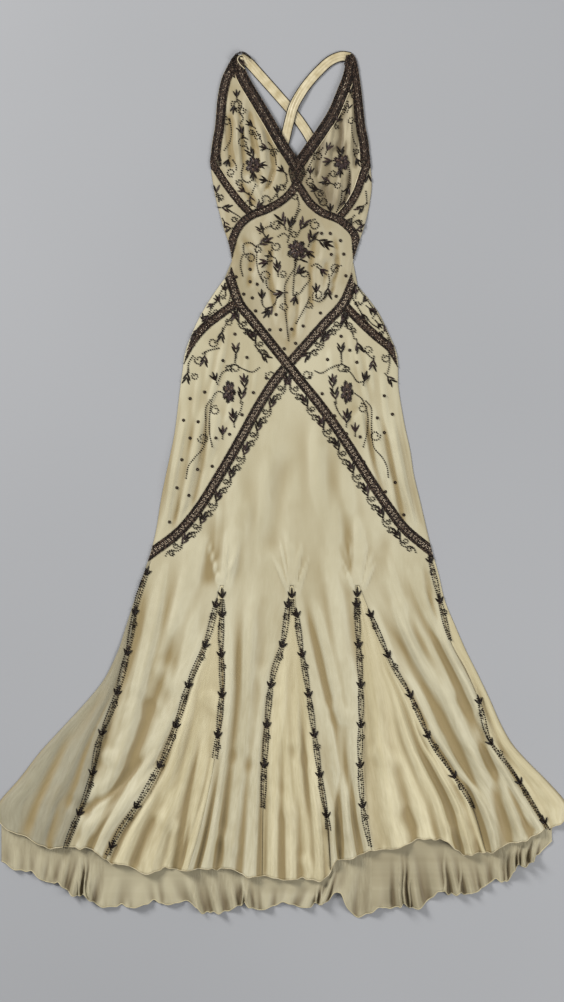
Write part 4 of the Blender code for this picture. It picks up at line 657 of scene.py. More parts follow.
# camera, light and colours
LENS, SENSOR = 85.0, 36.0
VIEW_X, VIEW_Y, VIEW_HEIGHT = 0.65, -34.0, 1853.7      # the view's middle and height on the plan
FLOOR_SIZE = 12.0
ROOM_LIGHT = 0.34
LIGHTS = (
    ("key", (-3.7, 2.8, 3.1), 1.9, 372.0, (1.0, 0.975, 0.92)),
    ("fill", (3.4, -1.2, 2.7), 2.4, 158.0, (1.0, 0.98, 0.93)),
)
IVORY = ((0.50, 0.474, 0.353), (0.35, 0.315, 0.205))
# darker copies of the ivory: painted shade for the bodice, and a deeper painted shade for the right cup
SHADED_BODICE_IVORY = ((0.46, 0.425, 0.315), (0.25, 0.215, 0.13))
CUP_SHADED = ((0.43, 0.385, 0.265), (0.175, 0.142, 0.08))
CHAMPAGNE = ((0.545, 0.50, 0.345), (0.37, 0.322, 0.19))
GREY_BEIGE = ((0.375, 0.345, 0.24), (0.24, 0.208, 0.13))
# a darker, greyer copy of the godet chiffon, for the left side godet only
GREYER_GODET = ((0.275, 0.258, 0.185), (0.18, 0.16, 0.105))
CREAM = ((0.56, 0.50, 0.35), (0.37, 0.31, 0.18))
# colours of the shade painted into the cloth's hollows and patches
GOLDEN_PAINTED_SHADE = (0.225, 0.172, 0.078)
SMOKY_PAINTED_SHADE = (0.130, 0.100, 0.052)
HOLLOW_DEPTHS = (-0.4, 3.2)     # millimetres of depth over which a hollow of the folds fills with painted shade
BODICE_DEPTHS = (-0.3, 1.7)      # and over which the bodice's finer puckers fill with painted shade
# Fineness of the silk's pleats, patches of shade, hair crinkle and dye, across and down the gown.
PLEAT_SCALE, PATCH_SCALE, HAIR_SCALE, DYE_SCALE = (105, 20, 1), (26, 12, 1), (270, 42, 1), (13, 3.2, 1)
GRAIN_SCALE = (1300, 1300, 1300)
CRINKLED = (0.85, 1.35)    # metres down the gown over which the silk's crinkle sets in
DARK, BROWN, GLINT, PLUM = range(4)
# A flower's rings of petals. Columns: petals, where they start and end, lift, turn, finishes.
FLOWER_RINGS = (
    (7, 0.30, 1.02, 0.8, 0.0, (DARK, DARK, PLUM)), (6, 0.20, 0.74, 2.0, 0.5, (PLUM, PLUM, BROWN)),
    (5, 0.10, 0.46, 3.0, 0.2, (DARK, PLUM)),
)
RUN, HOLLOW = "run", "hollow"
HOLLOW_REACH = 6           # cells each way that a hollow is measured against
RANDOM = np.random.default_rng(7)


# ---------------------------------------------------------------- plan curves
def smooth(points, steps=6):
    """A round line through given points."""
    p = np.asarray(points, float)
    p = np.vstack([2 * p[0] - p[1], p, 2 * p[-1] - p[-2]])
    t = np.linspace(0, 1, steps, endpoint=False)[:, None]
    runs = []
    for a, b, c, d in zip(p, p[1:], p[2:], p[3:]):
        bend = (2 * a - 5 * b + 4 * c - d) * t**2 + (3 * b - a - 3 * c + d) * t**3
        runs.append(0.5 * (2 * b + (c - a) * t + bend))
    return np.vstack([*runs, p[-2:-1]])


def sample(line, count):
    """count + 1 points at equal steps along a line."""
    along = np.concatenate([[0], np.cumsum(np.hypot(*np.diff(line, axis=0).T))])
    places = np.linspace(0, along[-1], count + 1)
    return np.column_stack([np.interp(places, along, line[:, 0]), np.interp(places, along, line[:, 1])])


def curve(points, count):
    return sample(smooth(points), count)


def x_at(line, drop):
    """x of a line that runs down the gown, at the given drops."""
    return np.interp(drop, line[:, 1], line[:, 0])


def beside(line, offset):
    """The line moved sideways: one that runs down moves to the picture's right by a positive offset."""
    way = np.gradient(line, axis=0)
    way /= np.hypot(*way.T)[:, None]
    return line + offset * np.column_stack([way[:, 1], -way[:, 0]])


def chain(*lines):
    """Lines joined end to end, each shared end kept once."""
    return np.vstack([lines[0], *(line[1:] for line in lines[1:])])


def crossing(a, b, c, d):
    """Where the stretch a-b crosses c-d, as a share of a-b, or None."""
    r, s = b - a, d - c
    turn = r[0] * s[1] - r[1] * s[0]
    if abs(turn) < 1e-9:
        return None
    t = ((c - a)[0] * s[1] - (c - a)[1] * s[0]) / turn
    u = ((c - a)[0] * r[1] - (c - a)[1] * r[0]) / turn
    return t if 0 <= t <= 1 and 0 <= u <= 1 else None


def cut_before(line, stop):
    """The line up to where it first meets the stop line."""
    for i in range(len(line) - 1):
        for c, d in zip(stop, stop[1:]):
            t = crossing(line[i], line[i + 1], c, d)
            if t is not None:
                return np.vstack([line[: i + 1], line[i] + t * (line[i + 1] - line[i])])
    return line


def lengthened(line, extra):
    """The line drawn out straight past its last point."""
    way = line[-1] - line[-2]
    return np.vstack([line, line[-1] + way / np.hypot(*way) * extra])


def onto(outline, table, row):
    """The table with one end row moved sideways onto the outline."""
    points = [list(point) for point in table]
    points[row][0] = float(x_at(outline, points[row][1]))
    return points


LEFT = smooth(SIDE_LEFT)
RIGHT = smooth(SIDE_RIGHT)
CUP_SEAMS = {"left": CUP_SEAM_LEFT, "right": CUP_SEAM_RIGHT}
UNDERBUSTS = {"left": onto(LEFT, UNDERBUST_LEFT, -1), "right": onto(RIGHT, UNDERBUST_RIGHT, -1)}
CROSSES = {"left": onto(LEFT, CROSS_LEFT, 0), "right": onto(RIGHT, CROSS_RIGHT, 0)}
YOKES = {"left": onto(LEFT, YOKE_LEFT, -1), "right": onto(RIGHT, YOKE_RIGHT, -1)}
HIPS = {"left": onto(LEFT, HIP_LEFT, -1), "right": onto(RIGHT, HIP_RIGHT, -1)}
LEFT_EDGE = np.vstack([smooth(ARMHOLE_LEFT), LEFT[1:]])
RIGHT_EDGE = np.vstack([smooth(ARMHOLE_RIGHT), RIGHT[1:]])
HEM = smooth(FRONT_HEM)
BACK_EDGE = smooth(BACK_HEM)
SEAMS = [smooth(seam) for seam in (
    SIDE_LEFT, SIDE_SEAM_LEFT, SEAM_1, SEAM_2, SEAM_3, SEAM_4, SEAM_5, SEAM_6, SIDE_SEAM_RIGHT,
    SIDE_RIGHT,
)]


def hem_drop(x):
    return np.interp(x, HEM[:, 0], HEM[:, 1])


def foot(seam):
    """x where a seam reaches the front hem."""
    short = hem_drop(seam[:, 0]) - seam[:, 1]
    low = len(short) - 1 if short[-1] > 0 else int(np.argmax(short <= 0))
    return seam[low, 0]


SEAM_FEET = np.array([foot(seam) for seam in SEAMS])
NECK_LINES = {
    "left": beside(smooth(NECK_LEFT), -NECK_BAND / 2),
    "right": beside(smooth(NECK_RIGHT), NECK_BAND / 2),
}
ARM_LINES = {
    "left": beside(smooth(ARMHOLE_LEFT), ARMHOLE_BAND / 2),
    "right": beside(smooth(ARMHOLE_RIGHT), -ARMHOLE_BAND / 2),
}
CUP_LINES, UNDER_LINES, CROSS_LINES, YOKE_LINES, HIP_LINES = (
    {side: smooth(table) for side, table in tables.items()}
    for tables in (CUP_SEAMS, UNDERBUSTS, CROSSES, YOKES, HIPS)
)
BAND_LINES = [
    line for lines in (NECK_LINES, ARM_LINES, CUP_LINES, UNDER_LINES, CROSS_LINES, HIP_LINES, YOKE_LINES)
    for line in lines.values()
]

# ---------------------------------------------------------------- heights of the laid-out cloth
def smoothstep(t):
    t = np.clip(t, 0, 1)
    return t * t * (3 - 2 * t)


def distance(x, drop, line):
    """How far each point is from a line."""
    best = np.full(np.shape(x), 1e9)
    for (ax, ay), (bx, by) in zip(line, line[1:]):
        span = (bx - ax) ** 2 + (by - ay) ** 2 + 1e-12
        t = np.clip(((x - ax) * (bx - ax) + (drop - ay) * (by - ay)) / span, 0, 1)
        best = np.minimum(best, np.hypot(x - ax - t * (bx - ax), drop - ay - t * (by - ay)))
    return best


def fan(x, drop):
    """Where the cloth's run through a point meets the hem, reading between the seams beside it."""
    down = np.maximum(drop, APEX_DROP)
    places = np.array([x_at(seam, down) for seam in SEAMS])
    result = SEAM_FEET[0] + (x - places[0])
    for near, far, near_foot, far_foot in zip(places, places[1:], SEAM_FEET, SEAM_FEET[1:]):
        share = (x - near) / np.maximum(far - near, 1e-6)
        result = np.where(x >= near, near_foot + share * (far_foot - near_foot), result)
    return result


def unslit(across):
    """Places along the hem with the godets' widths taken out, for cloth that runs on above the slits."""
    godets = SEAM_FEET[list(SLITS)], SEAM_FEET[[seam + 1 for seam in SLITS]]
    return across - sum(np.clip(across - near, 0, far - near) for near, far in zip(*godets))


def ridge(off, left, right):
    """A rounded ridge across a fold: 1 on its crest, 0 past its slopes."""
    return smoothstep(1 - np.where(off < 0, -off / left, off / right))


def folds(x, drop, table):
    """Height of long folds that follow the godet seams down."""
    at_hem = fan(x, drop)
    height = np.zeros(np.shape(x))
    for crest, start, left, right, tall in table:
        grown = smoothstep((drop - start) / (hem_drop(crest) - start))
        height = np.maximum(height, tall * grown * ridge(at_hem - crest, left, right))
    return height


def creases(x, drop, table):
    """Height of the short creases, each fading at its two ends."""
    height = np.zeros(np.shape(x))
    for ax, ay, bx, by, half, tall in table:
        length = math.hypot(bx - ax, by - ay)
        along = ((x - ax) * (bx - ax) + (drop - ay) * (by - ay)) / length
        across = ((x - ax) * (by - ay) - (drop - ay) * (bx - ax)) / length
        fade = CREASE_FADE * length
        ends = smoothstep(along / fade) * smoothstep((length - along) / fade)
        height += tall * ends * smoothstep(1 - np.abs(across) / half)
    return height


def drapes(x, drop, table):
    """Height of bent folds and hollows, each fading in from its top and out at its foot."""
    height = np.zeros(np.shape(x))
    for left, right, tall, line in table:
        steps_down = [math.dist(a, b) for a, b in zip(line, line[1:])]
        length, before = sum(steps_down), 0.0
        nearest = np.full(np.shape(x), 1e9)
        layer = np.zeros(np.shape(x))
        for (ax, ay), (bx, by), step in zip(line, line[1:], steps_down):
            t = np.clip(((x - ax) * (bx - ax) + (drop - ay) * (by - ay)) / step**2, 0, 1)
            away = np.hypot(x - ax - t * (bx - ax), drop - ay - t * (by - ay))
            on_left = (bx - ax) * (drop - ay) > (by - ay) * (x - ax)
            along = (before + t * step) / length
            ends = smoothstep(along / RUN_FADE[0]) * smoothstep((1 - along) / RUN_FADE[1])
            shape = ends * smoothstep(1 - away / np.where(on_left, left, right))
            layer = np.where(away < nearest, shape, layer)
            nearest = np.minimum(nearest, away)
            before += step
        height += tall * layer
    return height


def calm(x, drop):
    """0 on and beside beadwork, where the cloth is held smooth, and 1 well clear of it."""
    away = np.full(np.shape(x), 1e9)
    for line in BAND_LINES:
        away = np.minimum(away, distance(x, drop, line))
    for _, fx, fy, half, long in FLOWERS:
        away = np.minimum(away, np.hypot(x - fx, drop - fy) - max(half, long) - FLOWER_CALM + FLAT_MARGIN)
    return smoothstep((away - FLAT_MARGIN) / FLAT_BLEND)


def gathers(x, drop):
    """Fine uneven pleats down the whole skirt, from three interfering waves."""
    spread = np.maximum(fan(x + 1, drop) - fan(x, drop), 1)
    run = fan(x, drop) + sum(far * np.sin(drop / long + start) for far, long, start in GATHER_SWAYS)
    fade = smoothstep((drop - GATHER_TOP) / GATHER_DEPTH) / spread**2
    one, other = (np.sin(run / across + drop / down + start) for across, down, start in GATHER_PATCHES)
    uneven = GATHER_MEAN + (1 - GATHER_MEAN) * one * other
    waves = sum(
        tall * np.sin(math.tau * run / length + phase + bend * np.sin(drop / GATHER_TURN + phase))
        for length, tall, phase, bend in GATHERS
    )
    return fade * uneven * waves


def hem_curl(x, depth):
    """How a hem's narrow edge curls up and down along it, at depths above the hem."""
    edge = np.exp(-np.maximum(depth, 0) / CURL_DEPTH)
    waves = sum(tall * np.sin(x / long + bend * np.sin(x / over)) for tall, long, bend, over in CURL_WAVES)
    return CURL_HEIGHT * edge * (waves + 1)


def front_top(x, drop):
    """Height of the upper surface of the front layer."""
    away = calm(x, drop)
    inside = np.minimum(x - x_at(LEFT_EDGE, drop), x_at(RIGHT_EDGE, drop) - x)
    puff = PUFF * (1 - np.exp(-(np.maximum(inside, 0) / PUFF_REACH) ** 2))
    held = LEAST_CALM + (1 - LEAST_CALM) * away
    large = folds(x, drop, SKIRT_FOLDS) * SKIRT_FOLD_SHARE + creases(x, drop, CREASES) * away
    large += creases(x, drop, DRAPES) * away + drapes(x, drop, RUNS)
    small = folds(x, drop, MINOR_FOLDS) * MINOR_FOLD_SHARE + gathers(x, drop)
    small += hem_curl(x, hem_drop(x) - drop)
    small += creases(x, drop, MINOR_CREASES) * MINOR_GAIN * held
    small += creases(x, drop, PUCKERS) * PUCKER_GAIN * held
    sunk = (FRONT_REST + WALL - EDGE_HEIGHT) * (1 - smoothstep(inside / EDGE_ROLL))
    height = FRONT_REST + WALL + puff + large + small - sunk
    over = np.maximum(height - TALL, 0)
    return np.maximum(height - over + TALL_ROOM * np.tanh(over / TALL_ROOM), EDGE_HEIGHT)


def back_drop(x):
    return np.interp(x, BACK_EDGE[:, 0], BACK_EDGE[:, 1])


def back_top(x, drop):
    """Height of the upper surface of the back, ruffled past the front hem."""
    start = hem_drop(x) + RUFFLE_START
    depth = np.maximum(back_drop(x) - start, 1)
    grown = smoothstep((drop - start) / depth)
    slant = RUFFLE_SLANT * np.sin(x / SLANT_LENGTH + SLANT_START) * (drop - start) / depth
    wander = BUNCH_WANDER * np.sin(drop / BUNCH_DOWN + x / BUNCH_ACROSS)
    height = BACK_WALL + hem_curl(x, back_drop(x) - drop) * grown
    for table, moved in ((BACK_RUFFLES, slant), (MINOR_RUFFLES, slant), (BUNCHES, wander)):
        layer = np.zeros(np.shape(x))
        for crest, left, right, tall in table:
            layer = np.maximum(layer, tall * ridge(x + moved - crest, left, right))
        height = height + layer * grown
    return np.maximum(height, BACK_SHELL + LEAST_LIFT)


def waved(x, drop, table, edge, depth=HEM_WAVE_DEPTH):
    """The drops near a hem, moved down or up where the edge waves."""
    moved = np.zeros(np.shape(x))
    for place, half, down in table:
        moved += down * smoothstep(1 - np.abs(x - place) / half)
    return drop + moved * smoothstep((drop - edge + depth) / depth)


# ---------------------------------------------------------------- cloth
def drawn_in(grid, by=SEAM_GAP / 2):
    """The grid with its border moved inwards, for the seam's gap."""
    out = grid.copy()
    for border, inner, put in (
        (grid[:, 0], grid[:, 1], (slice(None), 0)), (grid[:, -1], grid[:, -2], (slice(None), -1)),
        (grid[0], grid[1], (0, slice(None))), (grid[-1], grid[-2], (-1, slice(None))),
    ):
        way = np.gradient(border, axis=0)
        length = np.maximum(np.hypot(*way.T), 1e-9)[:, None]
        side = np.column_stack([way[:, 1], -way[:, 0]]) / length
        inwards = np.sign(np.sum(side * (inner - border), axis=1))
        inwards = np.where(inwards == 0, 1, inwards)[:, None]
        out[put] += side * inwards * by
    return out


def patch(top, bottom, left, right):
    """A grid of points between four border lines."""
    u = np.linspace(0, 1, len(top))[None, :, None]
    v = np.linspace(0, 1, len(left))[:, None, None]
    across = (1 - v) * top[None] + v * bottom[None]
    down = (1 - u) * left[:, None] + u * right[:, None]
    corners = (1 - v) * ((1 - u) * top[0] + u * top[-1]) + v * ((1 - u) * bottom[0] + u * bottom[-1])
    return across + down - corners


def shortened(line, by=CORNER):
    """The line with its last point moved back, where a piece would run to a point."""
    out = line.copy()
    way = out[-2] - out[-1]
    out[-1] += way / np.hypot(*way) * by
    return out


def straight(a, b, count):
    return np.linspace(a, b, count + 1)


def straight_part(outline, top, low, count):
    """The stretch of an outline between two drops."""
    drops = np.linspace(top, low, count + 1)
    return np.column_stack([x_at(outline, drops), drops])


def row(x, drop, height):
    """Plan and height in millimetres as a point of the scene."""
    return np.stack([(x - CENTRE_X) * MM, (CENTRE_DROP - drop) * MM, height * MM], axis=-1)


def mesh_of(name, points, faces, uv=None):
    """A mesh object from arrays of points and of equal-sided faces."""
    mesh = bpy.data.meshes.new(name)
    count, sides = faces.shape
    mesh.vertices.add(len(points))
    mesh.vertices.foreach_set("co", np.asarray(points, np.float32).ravel())
    mesh.loops.add(count * sides)
    mesh.loops.foreach_set("vertex_index", faces.astype(np.int32).ravel())
    mesh.polygons.add(count)
    mesh.polygons.foreach_set("loop_start", np.arange(0, count * sides, sides, dtype=np.int32))
    mesh.polygons.foreach_set("loop_total", np.full(count, sides, np.int32))
    mesh.update(calc_edges=True)
    mesh.shade_smooth()
    if uv is not None:
        layer = mesh.uv_layers.new(name=RUN)
        layer.data.foreach_set("uv", np.asarray(uv, np.float32)[faces.ravel()].ravel())
    thing = bpy.data.objects.new(name, mesh)
    bpy.context.scene.collection.objects.link(thing)
    return thing


def grid_faces(rows, columns, skip=()):
    """Corner numbers of each cell of a grid of points, leaving out (row, column) in skip."""
    at = np.arange(rows * columns).reshape(rows, columns)
    cells = np.stack([at[:-1, :-1], at[1:, :-1], at[1:, 1:], at[:-1, 1:]], axis=-1)
    kept = np.ones(cells.shape[:2], bool)
    for r, c in skip:
        kept[r, c] = False
    return cells[kept]


def ride(thing, slot, *nodes):
    """The piece lies with the gown and hides the nodes it stands for; its slot is not used."""
    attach(thing, "root")
    if nodes:
        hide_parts(*nodes)
    return thing


def thin(thing, thickness):
    """Gives a surface its cloth's thickness, downwards."""
    solid = thing.modifiers.new("thickness", "SOLIDIFY")
    solid.thickness = thickness * MM
    solid.offset = -1
    return thing


def hollows(height):
    """How far each point of a grid of heights lies below the cloth round it."""
    around = height
    for axis in (1, 0):
        margins = [(HOLLOW_REACH, HOLLOW_REACH) if axis == way else (0, 0) for way in (0, 1)]
        padded = np.pad(around, margins, "edge")
        windows = np.lib.stride_tricks.sliding_window_view(padded, 2 * HOLLOW_REACH + 1, axis)
        around = np.mean(windows, axis=-1)
    return around - height


def cloth(node, grid, looks, slot, height=None, skip=(), thickness=SHELL):
    """One panel, as a thin shell with its threads' run as its UV map."""
    x, drop = grid[..., 0], grid[..., 1]
    if height is None:
        height = front_top(x, drop)
        for border in ((slice(None), 0), (slice(None), -1), (0, slice(None))):
            height[border] -= SEAM_SINK
    height = np.maximum(height, thickness + LEAST_LIFT)
    points = row(x, drop, height)
    cells = grid_faces(*x.shape, skip)
    across = fan(x, drop) if node.startswith("godet") else unslit(fan(x, drop))
    run = np.stack([across * MM, drop * MM], axis=-1).reshape(-1, 2)
    thing = mesh_of(f"{node}_cloth", points.reshape(-1, 3), cells, run)
    # the depth of each hollow, by which the finish paints shade into the folds
    sunk = thing.data.attributes.new(HOLLOW, "FLOAT", "POINT")
    sunk.data.foreach_set("value", hollows(height).astype(np.float32).ravel())
    thing.data.materials.append(looks)
    thin(thing, thickness)
    ride(thing, slot, node)
    return points


def steps(*lines):
    """How many steps the longest of these lines takes."""
    longest = max(np.hypot(*np.diff(line, axis=0).T).sum() for line in lines)
    return max(4, math.ceil(longest / CELL))


def half_bodice(side, looks, side_looks, cup_looks):
    """One side's cup, underarm side, yoke and hip panel. Returns its underbust seam."""
    left_side = side == "left"
    armhole, neck, outline = {
        "left": (ARMHOLE_LEFT, NECK_LEFT, LEFT),
        "right": (ARMHOLE_RIGHT, NECK_RIGHT, RIGHT),
    }[side]

    def panel(name, top, low, outer, inner, looks=looks):
        """A panel given from its outer border to its inner one, whichever side it is on."""
        grid = patch(top, low, outer, inner) if left_side else patch(top[::-1], low[::-1], inner, outer)
        cloth(f"{name}_{side}", drawn_in(grid), looks, "ivory_chiffon")

    def count(table):
        return steps(smooth(table))

    cup_side = count(CUP_SEAMS[side])
    join = len(UNDERBUSTS[side]) - 3
    cup_under, side_under = UNDERBUSTS[side][:join], UNDERBUSTS[side][join - 1:]
    under = count(cup_under)
    down = count(neck)
    cup_seam = curve(CUP_SEAMS[side], cup_side)
    under_cup = curve(cup_under, under)
    neck_edge = chain(curve(neck, down), straight((MID_X, V_DROP), under_cup[0], MIDDLE_ROWS))
    arm_edge = curve(armhole, down + MIDDLE_ROWS)
    tip_edge = straight(arm_edge[0], neck_edge[0], cup_side + under)
    panel("cup", tip_edge, chain(cup_seam, under_cup[::-1]), arm_edge, neck_edge, cup_looks)

    under_side = curve(side_under, cup_side)
    top, low = shortened(cup_seam), shortened(under_side[::-1])
    down = math.ceil((low[0][1] - top[0][1]) / CELL)
    side_edge = straight_part(outline, top[0][1], low[0][1], down)
    panel("side_front", top, low, side_edge, straight(top[-1], low[-1], down), side_looks)

    cross = CROSSES[side]
    upper, lower = curve(cross[:2], count(cross[:2])), curve(cross[1:], count(cross[1:]))
    yoke_seam = curve(YOKES[side], count(YOKES[side]))
    inner = chain(upper, yoke_seam)
    outer = straight_part(outline, inner[0][1], inner[-1][1], len(inner) - 1)
    inner, outer = (shortened(shortened(line)[::-1], 2 * CORNER)[::-1] for line in (inner, outer))
    top, low = (straight(outer[end], inner[end], YOKE_COLUMNS) for end in (0, -1))
    panel("yoke", top, low, outer, inner)

    top = chain(yoke_seam[::-1], lower)
    low = curve(HIPS[side], len(top) - 1)[::-1]
    top, low = shortened(top, 4 * CORNER), shortened(low, 4 * CORNER)
    down = math.ceil((low[0][1] - top[0][1]) / CELL)
    side_edge = straight_part(outline, top[0][1], low[0][1], down)
    panel("hip_panel", top, low, side_edge, straight(top[-1], low[-1], down))
    return chain(under_cup, under_side)


def midriff(under_left, under_right, looks):
    """The long diamond between the underbust seams and the crossing."""
    top = chain(under_left[::-1], under_right)
    low = chain(smooth(CROSSES["left"]), smooth(CROSSES["right"])[::-1])
    middle = int(np.argmax(low[:, 1]))
    low_left, low_right = low[: middle + 1], low[middle:]
    low = chain(sample(low_left, len(under_left) - 1), sample(low_right, len(under_right) - 1))
    down = math.ceil((low[:, 1].max() - top[:, 1].min()) / CELL)
    left = straight_part(LEFT, top[0][1], low[0][1], down)
    right = straight_part(RIGHT, top[-1][1], low[-1][1], down)
    cloth("midriff_front", drawn_in(patch(top, low, left, right)), looks, "ivory_chiffon")


def shares_of(first_seam):
    """Places across, between a seam and the next, for columns of fine cells."""
    width = SEAM_FEET[first_seam + 1] - SEAM_FEET[first_seam]
    return np.linspace(0, 1, math.ceil(width / CELL_ACROSS) + 1)


def run_down(first_seam, share, inset):
    """Points down the cloth from the slits' level to the hem, part of the way between two seams."""
    def x_of(drop):
        near = x_at(SEAMS[first_seam], drop) + inset
        far = x_at(SEAMS[first_seam + 1], drop) - inset
        return near + share * (far - near)

    low = hem_drop(SEAM_FEET[first_seam])
    for _ in range(HEM_TRIES):
        low = 0.5 * (low + hem_drop(x_of(low)))
    drops = np.linspace(APEX_DROP, low, SKIRT_ROWS + 1)
    x = x_of(drops)
    return np.column_stack([x, waved(x, drops, FRONT_WAVES, low)])


def godet(name, first_seam, looks):
    """A gore set between two seams, from its narrow top to the hem. Returns its hem."""
    half = SEAM_GAP / 2
    shares = shares_of(first_seam)
    grid = np.stack([run_down(first_seam, share, half) for share in shares], axis=1)
    if first_seam in SLITS:
        grid[0, :, 1] += SEAM_GAP
    else:
        start = max(SEAMS[first_seam][0, 1], SEAMS[first_seam + 1][0, 1]) + 4 * CORNER
        drops = np.linspace(start, APEX_DROP, math.ceil((APEX_DROP - start) / CELL) + 1)[:-1]
        near = x_at(LEFT if first_seam < FIRST_SEAM else SEAMS[first_seam], drops) + half
        far = x_at(SEAMS[first_seam + 1] if first_seam < FIRST_SEAM else RIGHT, drops) - half
        across = near[:, None] + shares * (far - near)[:, None]
        top = np.stack([across, np.broadcast_to(drops[:, None], across.shape)], axis=-1)
        grid = np.concatenate([top, grid])
    return cloth(name, grid, looks, "godet_chiffon")[-1]


def above_slits(v_line, low_point):
    """The run of cloth from the crossing seams down to a point on the slits' level."""
    left, right = v_line[0][0], v_line[-1][0]
    low_left, low_right = (x_at(SEAMS[seam], APEX_DROP) for seam in (FIRST_SEAM, LAST_SEAM))
    x = left + (low_point[0] - low_left) / (low_right - low_left) * (right - left)
    top = np.array([x, np.interp(x, v_line[:, 0], v_line[:, 1]) + 2 * SEAM_GAP])
    return straight(top, low_point, SKIRT_TOP_ROWS)


def skirt_front(looks):
    """The front skirt panel, below the crossing bands, with a slit for each godet."""
    half = SEAM_GAP / 2
    v_line = chain(smooth(HIPS["left"])[::-1], smooth(HIPS["right"]))
    lines, skip, hems = [], set(), []
    for first_seam in range(FIRST_SEAM, LAST_SEAM):
        if first_seam in SLITS:
            skip |= {(SKIRT_TOP_ROWS + row, len(lines) - 1) for row in range(SKIRT_ROWS)}
            hems.append(len(lines))
            continue
        for share in shares_of(first_seam):
            down = run_down(first_seam, share, half)
            lines.append(chain(above_slits(v_line, down[0]), down))
    grid = np.stack(lines, axis=1)
    for column, seam in ((0, SEAMS[FIRST_SEAM]), (-1, SEAMS[LAST_SEAM])):
        drops = grid[:SKIRT_TOP_ROWS, column, 1]
        inwards = half if column == 0 else -half
        grid[:SKIRT_TOP_ROWS, column, 0] = x_at(seam, np.maximum(drops, seam[0, 1])) + inwards
    low = cloth("skirt_front", grid, looks, "ivory_chiffon", skip=skip)[-1]
    return np.split(low, hems)


def back_panel(looks):
    """The back: flat below the front, and ruffled where it shows past the front hem. Returns its hem."""
    columns = math.ceil((BACK_EDGE[-1, 0] - BACK_EDGE[0, 0]) / BACK_ACROSS)
    x = np.linspace(BACK_EDGE[0, 0], BACK_EDGE[-1, 0], columns + 1)
    start = hem_drop(x) + RUFFLE_START
    share = np.linspace(0, 1, RUFFLE_ROWS + 1)[:, None]
    drops = waved(x, start + share * (back_drop(x) - start), BACK_WAVES, back_drop(x))
    ruffled = np.stack([np.broadcast_to(x, drops.shape), drops], axis=-1)
    down = np.linspace(BACK_TOP, SIDE_LOW, BACK_ROWS)
    left = np.vstack([np.column_stack([x_at(LEFT, down) + BACK_INSET, down]), (x[0], start[0])])
    right = np.vstack([np.column_stack([x_at(RIGHT, down) - BACK_INSET, down]), (x[-1], start[-1])])
    flat = patch(straight(left[0], right[0], columns), np.column_stack([x, start]), left, right)
    grid = np.concatenate([flat[:-1], ruffled])
    height = back_top(grid[..., 0], grid[..., 1])
    return cloth("back_panel", grid, looks, "back_chiffon", height, (), BACK_SHELL)[-1]


def tube(name, line, radius, looks, slot, sides=6):
    """A thin round cord along points of the scene, none of it below the floor."""
    line = line.copy()
    line[:, 2] = np.maximum(line[:, 2], (radius + LEAST_LIFT) * MM)
    way = np.gradient(line, axis=0)
    way /= np.linalg.norm(way, axis=1)[:, None]
    side = np.cross(way, (0, 0, 1))
    side /= np.linalg.norm(side, axis=1)[:, None]
    up = np.cross(side, way)
    turns = np.linspace(0, math.tau, sides, endpoint=False)
    ring = side[:, None] * np.cos(turns)[:, None] + up[:, None] * np.sin(turns)[:, None]
    points = (line[:, None] + ring * radius * MM).reshape(-1, 3)
    at = np.arange(len(line) * sides).reshape(len(line), sides)
    near, far = at[:-1], at[1:]
    faces = np.stack([near, np.roll(near, -1, 1), np.roll(far, -1, 1), far], axis=-1).reshape(-1, 4)
    thing = mesh_of(name, points, faces)
    thing.data.materials.append(looks)
    return ride(thing, slot)


def strap(node, table, over, looks, edging):
    """A satin strap from the shoulder tip to the back's top edge, with a dark cord down each side."""
    back_line = np.array([(way * STRAP_LIMIT, BACK_TOP - SEAM_GAP) for way in (-1, 1)])
    line = smooth(table)
    edges = [cut_before(beside(line, way * STRAP_WIDTH / 2), back_line) for way in (-1, 1)]
    count = steps(*edges) * 2
    near, far = (sample(edge, count) for edge in edges)
    across = np.linspace(0, 1, STRAP_COLUMNS + 1)
    grid = near[:, None] + across[:, None] * (far - near)[:, None]
    x, drop = grid[..., 0], grid[..., 1]
    away = np.hypot(x - STRAP_CROSSING[0], drop - STRAP_CROSSING[1])
    bridge = over * (STRAP_WALL + SEAM_GAP) * smoothstep(1 - (away - STRAP_BRIDGE) / STRAP_RAMP)
    along = np.arange(count + 1)[:, None] / count
    crown = STRAP_CROWN * np.sin(math.pi * across) ** CROWN_ROUND
    bend = PLEAT_BEND * np.sin(PLEAT_BENDS * along + over)
    swell = PLEAT_LEAST + (1 - PLEAT_LEAST) * np.sin(PLEAT_SWELLS * along)
    pleat = STRAP_PLEAT * np.sin(PLEATS_ACROSS * across + bend) * swell
    knot = KNOT_HEIGHT * smoothstep(1 - np.hypot(x - KNOT[0], drop - KNOT[1]) / KNOT_REACH)
    height = bridge + STRAP_WALL + crown + pleat * crown + (0 if over else knot)
    points = cloth(node, grid, looks, "strap_satin", height)
    for side, column in (("inner", 0), ("outer", -1)):
        cord = points[:, column] + (0, 0, STRAP_CORD * MM / 2)
        tube(f"{node}_{side}_edge", cord, STRAP_CORD, edging, "dark_beads")


# ---------------------------------------------------------------- beads
def seed_form():
    """Corners and triangles of one round bead of radius 1."""
    ball = bmesh.new()
    bmesh.ops.create_icosphere(ball, subdivisions=1, radius=1)
    points = np.array([v.co for v in ball.verts])
    faces = np.array([[v.index for v in f.verts] for f in ball.faces])
    ball.free()
    return points, faces


